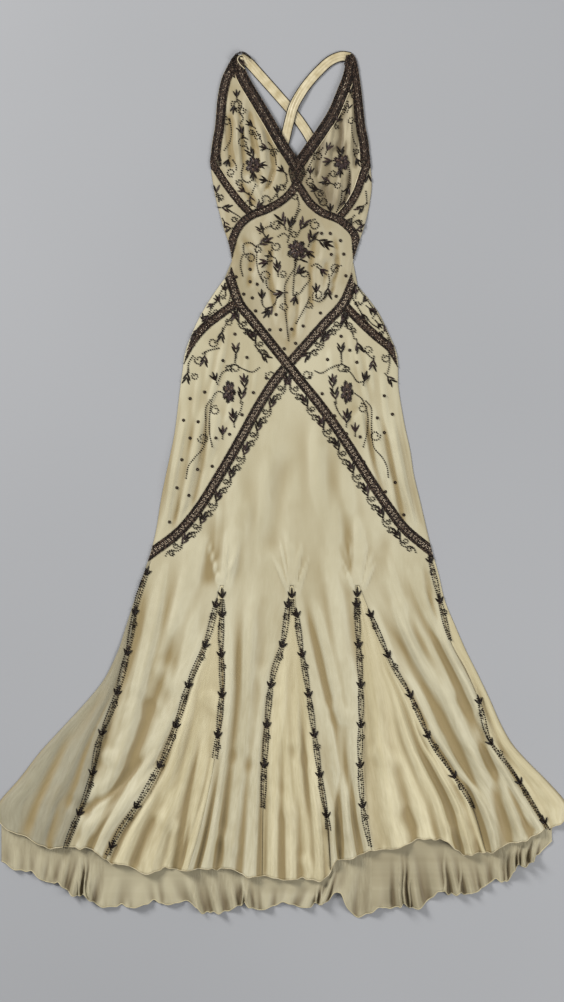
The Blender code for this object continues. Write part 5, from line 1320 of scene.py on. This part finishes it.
def leaf_form():
    """Corners and triangles of one slender leaf, from its foot at 0 to its tip at 1 along x."""
    sides = len(LEAF_SIDES)
    points = [(0, 0, 0)]
    for along, wide in LEAF_RINGS:
        points += [(along, wide * y, wide * z) for y, z in LEAF_SIDES]
    points.append((1, 0, 0))
    faces = []
    last = len(points) - 1
    for i in range(sides):
        j = (i + 1) % sides
        faces.append((0, 1 + j, 1 + i))
        faces.append((last, last - sides + i, last - sides + j))
        for ring in range(len(LEAF_RINGS) - 1):
            a, b = 1 + ring * sides, 1 + (ring + 1) * sides
            faces += [(a + i, a + j, b + j), (a + i, b + j, b + i)]
    return np.array(points), np.array(faces)


def seated(plan, lift):
    """Points of the scene above the cloth's upper surface, by a lift in mm."""
    return row(plan[:, 0], plan[:, 1], front_top(plan[:, 0], plan[:, 1]) + lift)


class Beads:
    """Beads gathered on the plan, then seated on the cloth and joined into one mesh."""

    def __init__(self):
        self.seeds, self.slips = [], []

    def sew(self, plan, radius=SEED, kinds=DARK, lift=0.0):
        """Round beads. Columns kept: x, drop, radius, lift, finish."""
        rows = np.empty((len(plan), 5))
        rows[:, :2] = plan
        rows[:, 2] = radius
        rows[:, 3] = lift
        rows[:, 4] = kinds
        self.seeds.append(rows)

    def lay(self, feet, tips, wide, thick=LEAF_THICK, lifts=(LEAF_LIFT, LEAF_LIFT), kinds=DARK):
        """Slender beads. Columns kept: foot, tip, half-width, thickness, lift of each end, finish."""
        rows = np.empty((len(tips), 9))
        rows[:, :2] = feet
        rows[:, 2:4] = tips
        rows[:, 4] = wide
        rows[:, 5] = thick
        rows[:, 6:8] = lifts
        rows[:, 8] = kinds
        self.slips.append(rows)

    def join(self, name, *nodes):
        """One object of all the beads, in their finishes."""
        parts = []
        if self.seeds:
            rows = np.vstack(self.seeds)
            rows[:, :2] = kept_inside(rows[:, :2])
            centres = seated(rows[:, :2], rows[:, 3] + rows[:, 2] * SEAT)
            turned = RANDOM.uniform(-1, 1, (len(rows), 3)) * (1, 1, 0.2) + (0, 0.001, 0)
            sizes = rows[:, 2:3] * RANDOM.uniform(*SEED_SIZES, (len(rows), 1)) * np.ones(3)
            parts.append(copies(SEED_FORM, centres, turned, sizes, rows[:, 4]))
        if self.slips:
            rows = np.vstack(self.slips)
            rows[:, :2], rows[:, 2:4] = kept_inside(rows[:, :2]), kept_inside(rows[:, 2:4])
            low, high = seated(rows[:, :2], rows[:, 6]), seated(rows[:, 2:4], rows[:, 7])
            middle = seated((rows[:, :2] + rows[:, 2:4]) / 2, (rows[:, 6] + rows[:, 7]) / 2)
            over_fold = np.maximum(middle[:, 2] - (low[:, 2] + high[:, 2]) / 2, 0)
            low[:, 2] += over_fold
            high[:, 2] += over_fold
            length = np.linalg.norm(high - low, axis=1) / MM
            sizes = np.column_stack([length, rows[:, 4], rows[:, 5]])
            parts.append(copies(LEAF_FORM, low, high - low, sizes, rows[:, 8]))
        first, points, faces, kinds = 0, [], [], []
        for corners, triangles, finish in parts:
            points.append(corners)
            faces.append(triangles + first)
            kinds.append(finish)
            first += len(corners)
        thing = mesh_of(name, np.concatenate(points), np.concatenate(faces))
        for finish in BEAD_FINISHES:
            thing.data.materials.append(finish)
        thing.data.polygons.foreach_set("material_index", np.concatenate(kinds).astype(np.int32))
        return ride(thing, "dark_beads", *nodes)


def copies(form, centres, along, sizes, kinds):
    """Copies of a form: its x axis turned along, its size in mm, and the finish of each triangle."""
    corners, triangles = form
    along = along / np.linalg.norm(along, axis=1)[:, None]
    side = np.cross((0, 0, 1), along)
    side /= np.linalg.norm(side, axis=1)[:, None]
    frame = np.stack([along, side, np.cross(along, side)], axis=1) * (sizes * MM)[:, :, None]
    points = (centres[:, None] + corners @ frame).reshape(-1, 3)
    first = np.arange(len(centres)) * len(corners)
    faces = (first[:, None, None] + triangles).reshape(-1, 3)
    return points, faces, np.repeat(kinds, len(triangles))


def mixed(count, *kinds):
    """A finish for each of some beads, drawn from those given."""
    return RANDOM.choice(kinds, count)


def thread(beads, points, pitch=VINE_PITCH):
    """A single row of seed beads along a line."""
    line = smooth(points) if len(points) > 2 else np.asarray(points, float)
    length = np.hypot(*np.diff(line, axis=0).T).sum()
    beads.sew(sample(line, max(2, round(length / pitch))), VINE_SEED)


def heading_line(x, drop, heading, length):
    """The point a length away from another, on a heading in radians. Both may be arrays."""
    return np.column_stack([x + np.cos(heading) * length, drop + np.sin(heading) * length])


def sprig(beads, x, drop, heading, count, size):
    """Slender leaves in pairs up a beaded stem, with one at its tip where they are odd."""
    turn = math.radians(heading)
    ranks = np.arange(count) // 2
    ways = np.where(np.arange(count) % 2, 1.0, -1.0)
    if count % 2:
        ranks[-1], ways[-1] = max(ranks[-1] - 1, 0), 0.0
    feet = heading_line(x, drop, turn, SPRIG_STEP * size * ranks)
    long = SPRIG_LEAF * size * (1.12 - TIP_LONGER * np.abs(ways)) * RANDOM.uniform(0.92, 1.08, count)
    tips = heading_line(feet[:, 0], feet[:, 1], turn + ways * SPRIG_SPREAD, long)
    beads.lay(feet, tips, long * LEAF_WIDE, kinds=mixed(count, DARK, DARK, PLUM))
    beads.sew(heading_line(x, drop, turn, np.array(SPRIG_STEM)), VINE_SEED)


def curl(beads, x, drop, radius, start, sense):
    """A ring of seed beads that opens out of a small hook."""
    turns = np.linspace(0, 1, CURL_STEPS)
    angle = math.radians(start) + sense * turns * CURL_TURNS * math.tau
    reach = radius * (CURL_HOOK + (1 - CURL_HOOK) * np.minimum(turns * CURL_OPENING, 1))
    thread(beads, np.column_stack([x + reach * np.cos(angle), drop + reach * np.sin(angle)]))


def rosette(beads, x, drop):
    """A small round of seed beads about a paler middle one."""
    turns = np.linspace(0, math.tau, ROSETTE_BEADS, endpoint=False) + RANDOM.uniform(0, 1)
    beads.sew(heading_line(x, drop, turns, ROSETTE), ROSETTE_SEED)
    beads.sew([(x, drop)], ROSETTE_SEED, BROWN, ROSETTE_LIFT)


def band_edges(line, width, start=None, stop=None):
    """The two long edges of a beaded strip, cut at the start and stop lines."""
    edges = []
    for offset in (-width / 2, width / 2):
        edge = beside(line, offset)
        if stop is not None:
            edge = cut_before(lengthened(edge, BAND_REACH), stop)
        if start is not None:
            edge = cut_before(lengthened(edge[::-1], BAND_REACH), start)[::-1]
        edges.append(edge)
    return edges


def kept_inside(plan):
    """Points moved in to the side edges of the cloth where they would pass them."""
    low = x_at(LEFT_EDGE, plan[..., 1]) + EDGE_MARGIN
    high = x_at(RIGHT_EDGE, plan[..., 1]) - EDGE_MARGIN
    return np.stack([np.clip(plan[..., 0], low, high), plan[..., 1]], axis=-1)


def band(name, line, width, start=None, stop=None, patches=(), glints=0.2):
    """A strip of seed beads: dark ropes along its edges and a chain of small rings between them."""
    edges = band_edges(line, width, start, stop)
    longest = max(np.hypot(*np.diff(edge, axis=0).T).sum() for edge in edges)
    count, rows = round(longest / BAND_PITCH), max(4, round((width - 1) / ROW_PITCH))
    beads = Beads()
    lines = [sample(edge, count * 2) for edge in edges]
    along = np.arange(count * 2 + 1) * BAND_PITCH / 2
    for r in range(rows + 1):
        share = (r + ROW_MARGIN) / (rows + 2 * ROW_MARGIN)
        rope = (lines[0] * (1 - share) + lines[1] * share)[r % 2::2]
        plan = kept_inside(rope + RANDOM.normal(0, BEAD_SCATTER, rope.shape))
        across = (share - 0.5) * width
        if min(r, rows - r) < EDGE_ROPES:
            beads.sew(plan, ROPE_SEED, mixed(len(plan), DARK, DARK, DARK, BROWN))
            continue
        off = (along[r % 2::2] + RING_PITCH / 2) % RING_PITCH - RING_PITCH / 2
        ring = np.abs(np.hypot(off, across) - RING_RADIUS) < RING_WALL
        chance = RANDOM.random(len(plan))
        pale = np.where(chance < glints, GLINT, BROWN)
        between = np.where(chance < STRAY_BROWNS, BROWN, DARK)
        beads.sew(plan, CHAIN_SEED, np.where(ring, pale, between))
    ground(name, np.stack([sample(edge, count // 2) for edge in edges], axis=1))
    for corners in patches:
        fill(beads, corners)
    beads.join(name + "_beads", name)
    return edges


def fill(beads, corners):
    """Seed beads all over a small area between strips."""
    corners = np.asarray(corners, float)
    low, high = corners.min(axis=0), corners.max(axis=0)
    x, drop = np.meshgrid(np.arange(low[0], high[0], BAND_PITCH), np.arange(low[1], high[1], ROW_PITCH))
    x[1::2] += BAND_PITCH / 2
    plan = np.column_stack([x.ravel(), drop.ravel()])
    within = np.zeros(len(plan), bool)
    for (ax, ay), (bx, by) in zip(corners, np.roll(corners, -1, axis=0)):
        spans = (ay > plan[:, 1]) != (by > plan[:, 1])
        reach = ax + (plan[:, 1] - ay) * (bx - ax) / (by - ay + 1e-9)
        within ^= spans & (plan[:, 0] < reach)
    outline = np.vstack([corners, corners[:1]])
    length = np.hypot(*np.diff(outline, axis=0).T).sum()
    for part in (plan[within], sample(outline, round(length / BAND_PITCH))):
        plan = part + RANDOM.normal(0, BEAD_SCATTER, part.shape)
        beads.sew(plan, SEED, mixed(len(plan), DARK, DARK, DARK, BROWN))


def ground(name, edges):
    """The dark net that a strip's beads are sewn to."""
    share = np.linspace(NET_MARGIN, 1 - NET_MARGIN, NET_COLUMNS)[:, None]
    grid = kept_inside(edges[:, :1] * (1 - share) + edges[:, 1:] * share)
    height = front_top(grid[..., 0], grid[..., 1]) + NET_LIFT
    points = row(grid[..., 0], grid[..., 1], height).reshape(-1, 3)
    thing = mesh_of(f"{name}_net", points, grid_faces(*height.shape))
    thing.data.materials.append(NET)
    ride(thing, "dark_beads")


def piping(name, edge, offset, looks):
    """A fine cream cord beside a strip's edge."""
    plan = kept_inside(sample(beside(edge, offset), steps(edge)))
    tube(name, seated(plan, PIPING / 2), PIPING, looks, "ivory_chiffon")


def left_shoulder(cord):
    """The rounded end of the left strap: a beaded rim over it, and a cream loop round its knot."""
    beads = Beads()
    rim = sample(smooth(SHOULDER_RIM), round(RIM_LENGTH / BAND_PITCH))
    for outwards in (0.0, ROW_PITCH):
        beads.sew(beside(rim, outwards), RIM_SEED, DARK, KNOT_HEIGHT)
    beads.join("shoulder_rim")
    loop = sample(smooth(SHOULDER_LOOP), round(RIM_LENGTH / BAND_PITCH))
    line = row(*loop.T, np.full(len(loop), LOOP_HEIGHT))
    tube("shoulder_loop", line, PIPING, cord, "strap_satin")


def bodice_bands(side, cord):
    """The strips round one cup: neck, armhole, cup and underbust, with cream cords beside them."""
    way = 1 if side == "left" else -1

    def mirrored(points):
        """Places given as distances outwards from the middle line."""
        return [(MID_X - way * off, drop) for off, drop in points]

    middle_x = MID_X - way * SEAM_GAP / 2
    middle = np.array([(middle_x, V_DROP - MIDDLE_REACH[0]), (middle_x, V_DROP + MIDDLE_REACH[1])])
    neck_line = beside(NECK_LINES[side], -way * EDGE_MARGIN)
    patches = mirrored(MIDDLE_PATCH), SHOULDER_TIPS[side]
    neck = band(f"neck_band_{side}", neck_line, NECK_BAND, stop=middle, patches=patches)
    neck_stop = beside(neck_line, -way * (NECK_BAND / 2 + 2 * JOIN_GAP))
    neck_stop = lengthened(lengthened(neck_stop, NECK_REACH[1])[::-1], NECK_REACH[0])[::-1]
    underarm = np.array(mirrored(UNDERARM))
    arm_line = beside(ARM_LINES[side], way * EDGE_MARGIN)
    patches = mirrored(UNDERARM_PATCH[side]),
    band(f"armhole_band_{side}", arm_line, ARMHOLE_BAND, neck_stop, underarm, patches)
    under_top = beside(UNDER_LINES[side], -way * (UNDERBUST_BAND / 2 + JOIN_GAP))
    cup = band(f"cup_band_{side}", CUP_LINES[side], CUP_BAND, underarm + (0, JOIN_GAP), under_top)
    under_start = np.vstack([cut_before(neck_stop, middle), middle[-1]])
    band(f"underbust_band_{side}", UNDER_LINES[side], UNDERBUST_BAND, under_start, side_stop(side))
    inner = 0 if side == "left" else 1
    piping(f"neck_cord_{side}", neck[inner][NECK_CORD_START:-NECK_CORD_STOP], -way * PIPING, cord)
    piping(f"cup_cord_{side}", cup[1 - inner][CUP_CORD_START:], way * PIPING, cord)


def side_stop(side):
    """Just inside a side edge, where strips end."""
    return beside(LEFT_EDGE, EDGE_MARGIN) if side == "left" else beside(RIGHT_EDGE, -EDGE_MARGIN)


def crossing_bands():
    """The two long strips, one whole and one in two parts, and the short yoke strips."""
    left, right = side_stop("left"), side_stop("right")
    whole = smooth([*CROSSES["left"], *HIPS["right"][1:]])
    band("cross_band_whole", whole, LONG_BAND, left, right, glints=LONG_GLINTS)
    above = beside(whole, LONG_BAND / 2 + JOIN_GAP)
    below = beside(whole, -LONG_BAND / 2 - JOIN_GAP)
    band("cross_band_upper", CROSS_LINES["right"], LONG_BAND, right, above, glints=LONG_GLINTS)
    band("cross_band_lower", HIP_LINES["left"], LONG_BAND, below, left, glints=LONG_GLINTS)
    outside = beside(CROSS_LINES["right"], LONG_BAND / 2 + JOIN_GAP)
    band("yoke_band_left", YOKE_LINES["left"], YOKE_BAND, below, left)
    band("yoke_band_right", YOKE_LINES["right"], YOKE_BAND, outside, right)


def border(beads, line, sense, first, last):
    """Sprigs and linked scrolls along the lower side of a long strip."""
    rope = beside(line, sense * BORDER_OFFSET)
    length = np.hypot(*np.diff(rope, axis=0).T).sum()
    fine = sample(rope, round(length))
    for i, at in enumerate(np.arange(first, last, BORDER_PITCH).astype(int)):
        way = fine[at + 3] - fine[at - 3]
        along = math.degrees(math.atan2(way[1], way[0]))
        side = np.array((way[1], -way[0])) / np.hypot(*way) * sense

        def place(on, off):
            return fine[at + on] + side * off

        sprig(beads, *place(*BORDER_SPRIG), along + sense * SPRIG_TURN, SPRIG_LEAVES, SPRIG_SIZE)
        start = along + (90 if i % 2 else -90)
        for (spot, turn), turning in zip(BORDER_CURLS, (sense, -sense)):
            curl(beads, *place(*spot), BORDER_CURL, start + turn, turning)
        thread(beads, [place(*spot) for spot in BORDER_TAIL])


def three_tips(x, drop, heading, turn, lengths):
    """Tips of three leaves from one foot: one ahead, and one turned to each side."""
    return heading_line(x, drop, heading + np.array((-turn, 0.0, turn)), np.array(lengths))


def trail(beads, seam, start, stop):
    """Two dotted rows down a godet seam, with a sprig and a curl at each repeat and beads between."""
    drops = np.linspace(start, stop, round((stop - start) / VINE_PITCH))
    line = np.column_stack([x_at(SEAMS[seam], drops), drops])
    swell = np.abs(np.sin(math.pi * (drops - start) / TRAIL_PITCH))
    wide = TRAIL_HALF * (TRAIL_NARROW + (1 - TRAIL_NARROW) * swell)
    for way in (-1, 1):
        beads.sew(line + np.column_stack([way * wide, np.full(len(drops), way)]), TRAIL_SEED)
    scattered = line[1::2] + RANDOM.uniform(-1, 1, line[1::2].shape) * TRAIL_SCATTER
    beads.sew(scattered, VINE_SEED, mixed(len(scattered), DARK, BROWN))
    for i, drop in enumerate(np.arange(start + TRAIL_START, stop, TRAIL_PITCH)):
        x, below = x_at(SEAMS[seam], np.array((drop, drop + TRAIL_REACH)))
        heading = math.atan2(-TRAIL_REACH, x - below)
        tips = three_tips(x, drop, heading, TRAIL_SPREAD, TRAIL_TIPS)
        beads.lay([(x, drop)] * 3, tips, TRAIL_LEAF, TRAIL_THICK)
        if drop + EYE_ROOM < stop:
            way = 1 if i % 2 else -1
            eye = float(x_at(SEAMS[seam], drop + EYE_DROP)) + way * EYE_OUT
            curl(beads, eye, drop + EYE_DROP, EYE_RADIUS, 90 * way, way)


def crown(beads, x, drop):
    """Three tall leaves over a slit's top, on a close cluster of beads."""
    tips = three_tips(x, drop, -math.pi / 2, CROWN_SPREAD, CROWN_TIPS)
    beads.lay([(x, drop)] * 3, tips, CROWN_LEAF)
    for off in CROWN_THREADS:
        thread(beads, [(x + off, drop + CROWN_FALL[0]), (x + off * CROWN_FLARE, drop + CROWN_FALL[1])])


def flower(name, x, drop, half, long):
    """Rings of notched petals, each a fan of slender beads, higher towards the middle."""
    beads = Beads()
    for count, near, far, lift, turn, kinds in FLOWER_RINGS:
        for petal in range(count):
            middle = math.tau * (petal + turn) / count + RANDOM.uniform(-PETAL_SWAY, PETAL_SWAY)
            share = np.linspace(-1, 1, PETAL_BEADS)
            angle = middle + share * PETAL_SPREAD * math.pi / count
            rim = PETAL_LONG - PETAL_ROUND * share**2 + PETAL_NOTCH * np.cos(share * NOTCH_WAVES)
            reach = far * rim * RANDOM.uniform(*PETAL_UNEVEN, PETAL_BEADS)
            out = np.column_stack([np.cos(angle) * half, np.sin(angle) * long])
            feet = (x, drop) + out * near
            tips = (x, drop) + out * reach[:, None]
            lifts = (lift + FOOT_LIFT, lift * TIP_SHARE + TIP_LIFT)
            beads.lay(feet, tips, PETAL_BEAD, PETAL_THICK, lifts, mixed(PETAL_BEADS, *kinds))
    turns = np.linspace(0, math.tau, EYE_BEADS, endpoint=False)
    beads.sew(heading_line(x, drop, turns, EYE_RING), EYE_SEED, mixed(EYE_BEADS, DARK, BROWN), EYE_LIFT)
    beads.sew([(x, drop)], HEART_SEED, GLINT, HEART_LIFT)
    beads.join(f"{name}_beads", name)


# ---------------------------------------------------------------- finishes
class Nodes:
    """A short way to build a material's nodes."""

    def __init__(self, name):
        self.material = bpy.data.materials.new(name)
        self.material.use_nodes = True
        self.tree = self.material.node_tree
        self.shader = self.tree.nodes["Principled BSDF"]

    def add(self, kind, **values):
        """A node, with its inputs and settings by name. A value may be another node's output."""
        node = self.tree.nodes.new(f"ShaderNode{kind}")
        for name, value in values.items():
            key = name.replace("_", " ")
            if key in node.inputs:
                self.put(node.inputs[key], value)
            else:
                setattr(node, name, value)
        return node

    def put(self, socket, value):
        if isinstance(value, bpy.types.NodeSocket):
            self.tree.links.new(value, socket)
        else:
            socket.default_value = value

    def math(self, operation, a, b=0.0):
        node = self.tree.nodes.new("ShaderNodeMath")
        node.operation = operation
        self.put(node.inputs[0], a)
        self.put(node.inputs[1], b)
        return node.outputs[0]

    def eased(self, value, gain, base):
        """The value times a gain, and a base added."""
        return self.math("ADD", self.math("MULTIPLY", value, gain), base)

    def tinted(self, share, low, high):
        """Gives the shader a colour between two, by a share."""
        self.put(self.shader.inputs["Base Color"], self.blend(share, (*low, 1), (*high, 1)))

    def creased(self, strength, distance, height):
        """Gives the shader's normal the small relief of a height."""
        bump = self.add("Bump", Strength=strength, Distance=distance, Height=height)
        self.put(self.shader.inputs["Normal"], bump.outputs[0])

    def blend(self, share, a, b):
        """Colour a turned into colour b by a share."""
        node = self.tree.nodes.new("ShaderNodeMix")
        node.data_type = "RGBA"
        self.put(node.inputs[0], share)
        self.put(node.inputs[6], a)
        self.put(node.inputs[7], b)
        return node.outputs[2]

    def ramp(self, value, low, high):
        """A value from low to high stretched to 0..1."""
        node = self.tree.nodes.new("ShaderNodeMapRange")
        self.put(node.inputs["Value"], value)
        node.inputs["From Min"].default_value = low
        node.inputs["From Max"].default_value = high
        return node.outputs[0]


def stretched(kit, source, scale):
    """Coordinates scaled apart in each direction."""
    node = kit.tree.nodes.new("ShaderNodeMapping")
    kit.put(node.inputs["Vector"], source)
    node.inputs["Scale"].default_value = scale
    return node.outputs[0]


def noise(kit, vector, detail=2.0, roughness=0.5):
    node = kit.tree.nodes.new("ShaderNodeTexNoise")
    kit.put(node.inputs["Vector"], vector)
    node.inputs["Scale"].default_value = 1.0
    node.inputs["Detail"].default_value = detail
    node.inputs["Roughness"].default_value = roughness
    return node.outputs["Fac"]


def hollow_painted_shade(kit, colour, shade, depths=HOLLOW_DEPTHS):
    """The colour with shade painted into the hollows of the folds, darkening as they deepen."""
    sunk = kit.add("Attribute", attribute_name=HOLLOW).outputs["Fac"]
    return kit.blend(kit.ramp(sunk, *depths), colour, (*shade, 1))


def chiffon(name, light, deep, shade=GOLDEN_PAINTED_SHADE, crinkle=0.6, patchy=0.22, depths=HOLLOW_DEPTHS):
    """Crepe silk: crinkled more towards the hem, with a warm uneven dye and painted shade on crinkles,
    hollows and patches.
    """
    kit = Nodes(name)
    run = kit.add("UVMap", uv_map=RUN).outputs[0]
    place = kit.add("TexCoord").outputs["Object"]
    down = kit.add("SeparateXYZ", Vector=run).outputs["Y"]
    low = kit.ramp(down, *CRINKLED)
    pleats = noise(kit, stretched(kit, run, PLEAT_SCALE), 3, 0.6)
    patches = noise(kit, stretched(kit, run, PATCH_SCALE), 2, 0.55)
    hairs = noise(kit, stretched(kit, run, HAIR_SCALE), 2, 0.5)
    grain = noise(kit, stretched(kit, place, GRAIN_SCALE), 1)
    dye = noise(kit, stretched(kit, run, DYE_SCALE), 3)
    # painted shade of the crinkles: paler where their bump stands up, more so towards the hem
    crinkle_shade = kit.math("ADD", kit.math("MULTIPLY", pleats, 0.4), kit.math("MULTIPLY", hairs, 0.6))
    crinkle_shade = kit.math("MULTIPLY", kit.ramp(crinkle_shade, 0.36, 0.62), kit.eased(low, 0.32, 0.06))
    tone = kit.math("ADD", crinkle_shade, kit.math("MULTIPLY", kit.ramp(dye, 0.34, 0.64), 0.58))
    dyed = kit.blend(tone, (*deep, 1), (*light, 1))
    dyed = kit.blend(kit.math("MULTIPLY", kit.ramp(patches, 0.52, 0.72), patchy), dyed, (*shade, 1))
    kit.put(kit.shader.inputs["Base Color"], hollow_painted_shade(kit, dyed, shade, depths))
    kit.shader.inputs["Roughness"].default_value = 0.62
    kit.shader.inputs["Sheen Weight"].default_value = 0.2
    kit.shader.inputs["Sheen Roughness"].default_value = 0.4
    crinkles = kit.math("ADD", kit.math("MULTIPLY", pleats, 0.7), hairs)
    crease = kit.math("MULTIPLY", kit.eased(low, 0.85, 0.15), crinkles)
    kit.creased(crinkle, 0.0012, kit.math("ADD", crease, kit.math("MULTIPLY", grain, 0.10)))
    return kit.material


def satin(name, light, deep):
    """Smooth cream satin with a fine grain across it, and shade painted into the hollows of its pleats."""
    kit = Nodes(name)
    place = kit.add("TexCoord").outputs["Object"]
    cloud = noise(kit, stretched(kit, place, (60, 60, 60)), 3)
    grain = noise(kit, stretched(kit, place, (900, 2200, 900)), 1)
    colour = hollow_painted_shade(kit, kit.blend(kit.ramp(cloud, 0.3, 0.7), (*deep, 1), (*light, 1)), GOLDEN_PAINTED_SHADE)
    kit.put(kit.shader.inputs["Base Color"], colour)
    kit.shader.inputs["Roughness"].default_value = 0.38
    kit.shader.inputs["Sheen Weight"].default_value = 0.15
    kit.creased(0.5, 0.0008, kit.math("ADD", cloud, kit.math("MULTIPLY", grain, 0.1)))
    return kit.material


def glass(name, low, high, roughness, metallic=0.0, gloss=0.25):
    """Glass beads whose tone shifts a little from place to place."""
    kit = Nodes(name)
    place = kit.add("TexCoord").outputs["Object"]
    cloud = noise(kit, stretched(kit, place, (420, 420, 420)), 1)
    kit.tinted(kit.ramp(cloud, 0.35, 0.65), low, high)
    kit.shader.inputs["Roughness"].default_value = roughness
    kit.shader.inputs["Metallic"].default_value = metallic
    kit.shader.inputs["Specular IOR Level"].default_value = gloss
    return kit.material


def netting(name, low, high):
    """Dark thread net under the beads."""
    kit = Nodes(name)
    place = kit.add("TexCoord").outputs["Object"]
    weave = noise(kit, stretched(kit, place, GRAIN_SCALE), 1)
    kit.tinted(kit.ramp(weave, 0.35, 0.65), low, high)
    kit.shader.inputs["Roughness"].default_value = 0.8
    kit.creased(0.4, 0.0003, weave)
    return kit.material


def floor_finish():
    kit = Nodes("pale_floor")
    cloud = noise(kit, kit.add("TexCoord").outputs["Object"], 2)
    kit.tinted(cloud, (0.262, 0.272, 0.296), (0.312, 0.322, 0.35))
    kit.shader.inputs["Roughness"].default_value = 0.7
    return kit.material


# ---------------------------------------------------------------- surroundings
def studio():
    """A pale floor, a big soft light from the upper left and a weaker one from the right."""
    bpy.ops.mesh.primitive_plane_add(size=FLOOR_SIZE)
    floor = bpy.context.object
    floor.name = "floor"
    floor.data.materials.append(floor_finish())
    world = bpy.data.worlds.new("room")
    bpy.context.scene.world = world
    world.use_nodes = True
    background = world.node_tree.nodes["Background"]
    background.inputs["Color"].default_value = (0.99, 0.985, 0.97, 1)
    background.inputs["Strength"].default_value = ROOM_LIGHT
    for name, place, size, power, colour in LIGHTS:
        light = bpy.data.lights.new(name, "AREA")
        light.shape = "SQUARE"
        light.size = size
        light.energy = power
        light.color = colour
        lamp = bpy.data.objects.new(name, light)
        lamp.location = place
        lamp.rotation_euler = (-Vector(place)).to_track_quat("-Z", "Y").to_euler()
        bpy.context.scene.collection.objects.link(lamp)


def camera():
    """Straight above the gown, framed as in the photo."""
    lens = bpy.data.cameras.new("camera")
    lens.lens = LENS
    lens.sensor_width = SENSOR
    lens.clip_end = 50
    eye = bpy.data.objects.new("camera", lens)
    eye.location = (VIEW_X * MM, VIEW_Y * MM, VIEW_HEIGHT * MM * LENS / SENSOR)
    bpy.context.scene.collection.objects.link(eye)
    bpy.context.scene.camera = eye


# ---------------------------------------------------------------- the gown
def hem_roll(name, hems, radius, looks, slot):
    """The narrow rolled edge of a hem, in one or more stretches."""
    for i, hem in enumerate(hems):
        tube(f"{name}_{i + 1}", hem - (0, 0, radius * MM / 2), radius, looks, slot)


def embroidery():
    """All the loose motifs, grouped by the part of the gown they lie on."""
    groups = {"bodice": Beads(), "hips": Beads(), "skirt": Beads()}

    def group(drop):
        return groups["bodice" if drop < BODICE_LOW else "hips"]

    for x, drop, heading, count, size in SPRIGS:
        sprig(group(drop), x, drop, heading, count, size)
    for x, drop, radius, start, sense in CURLS:
        curl(group(drop), x, drop, radius, start, sense)
    for vine in VINES:
        thread(group(vine[0][1]), vine)
    for x, drop in ROSETTES:
        rosette(group(drop), x, drop)
    skirt = groups["skirt"]
    for x, drop in CROWNS:
        crown(skirt, x, drop)
    border(skirt, HIP_LINES["left"], 1, *HIP_BORDER)
    border(skirt, HIP_LINES["right"], -1, *HIP_BORDER)
    border(groups["hips"], CROSS_LINES["left"], -1, *LEFT_BORDER)
    border(groups["hips"], CROSS_LINES["right"], 1, *RIGHT_BORDER)
    for seam, start, stop in TRAILS:
        trail(skirt, seam, start, stop)
    for name, beads in groups.items():
        beads.join(f"embroidery_{name}")


BEAD_FINISHES = (
    glass("dark_beads", (0.005, 0.003, 0.002), (0.013, 0.008, 0.006), 0.38, gloss=0.16),
    glass("brown_beads", (0.050, 0.030, 0.020), (0.095, 0.062, 0.042), 0.3),
    glass("glint_beads", (0.27, 0.21, 0.15), (0.42, 0.35, 0.26), 0.25, 0.3, 0.5),
    glass("flower_beads", (0.016, 0.008, 0.008), (0.036, 0.021, 0.020), 0.35),
)
NET = netting("bead_net", (0.016, 0.011, 0.009), (0.042, 0.030, 0.024))
SEED_FORM = seed_form()
LEAF_FORM = leaf_form()


def main():
    ivory = chiffon("ivory_chiffon", *IVORY)
    # darker copies of the ivory with more painted shade, for the cups, sides and midriff, and darkest for
    # the right cup
    shaded_bodice = chiffon("shaded_bodice_chiffon", *SHADED_BODICE_IVORY, patchy=0.6, depths=BODICE_DEPTHS)
    shaded_cup = chiffon("shaded_cup_chiffon", *CUP_SHADED, shade=SMOKY_PAINTED_SHADE, patchy=0.85, depths=BODICE_DEPTHS)
    champagne = chiffon("godet_chiffon", *CHAMPAGNE, crinkle=0.6)
    shaded = chiffon("back_chiffon", *GREY_BEIGE, SMOKY_PAINTED_SHADE, crinkle=0.8)
    cream = satin("strap_satin", *CREAM)
    back_hem = back_panel(shaded)
    strap("strap_left", STRAP_LEFT_LINE, 0, cream, BEAD_FINISHES[DARK])
    strap("strap_right", STRAP_RIGHT_LINE, 1, cream, BEAD_FINISHES[DARK])
    under_left = half_bodice("left", ivory, shaded_bodice, shaded_bodice)
    under_right = half_bodice("right", ivory, shaded_bodice, shaded_cup)
    midriff(under_left, under_right, shaded_bodice)
    front_hems = skirt_front(ivory)
    greyer_godet = chiffon("side_chiffon", *GREYER_GODET, crinkle=0.8)
    looks = {"godet_side_left": greyer_godet}
    front_hems += [godet(name, first_seam, looks.get(name, champagne)) for name, first_seam in GODETS]
    hem_roll("front_hem", front_hems, FRONT_ROLL, cream, "ivory_chiffon")
    hem_roll("back_hem", [back_hem], BACK_ROLL, champagne, "back_chiffon")
    for side in ("left", "right"):
        bodice_bands(side, cream)
    left_shoulder(cream)
    crossing_bands()
    embroidery()
    for flower_row in FLOWERS:
        flower(*flower_row)
    studio()
    camera()
    bpy.context.scene.view_settings.view_transform = "Standard"


main()
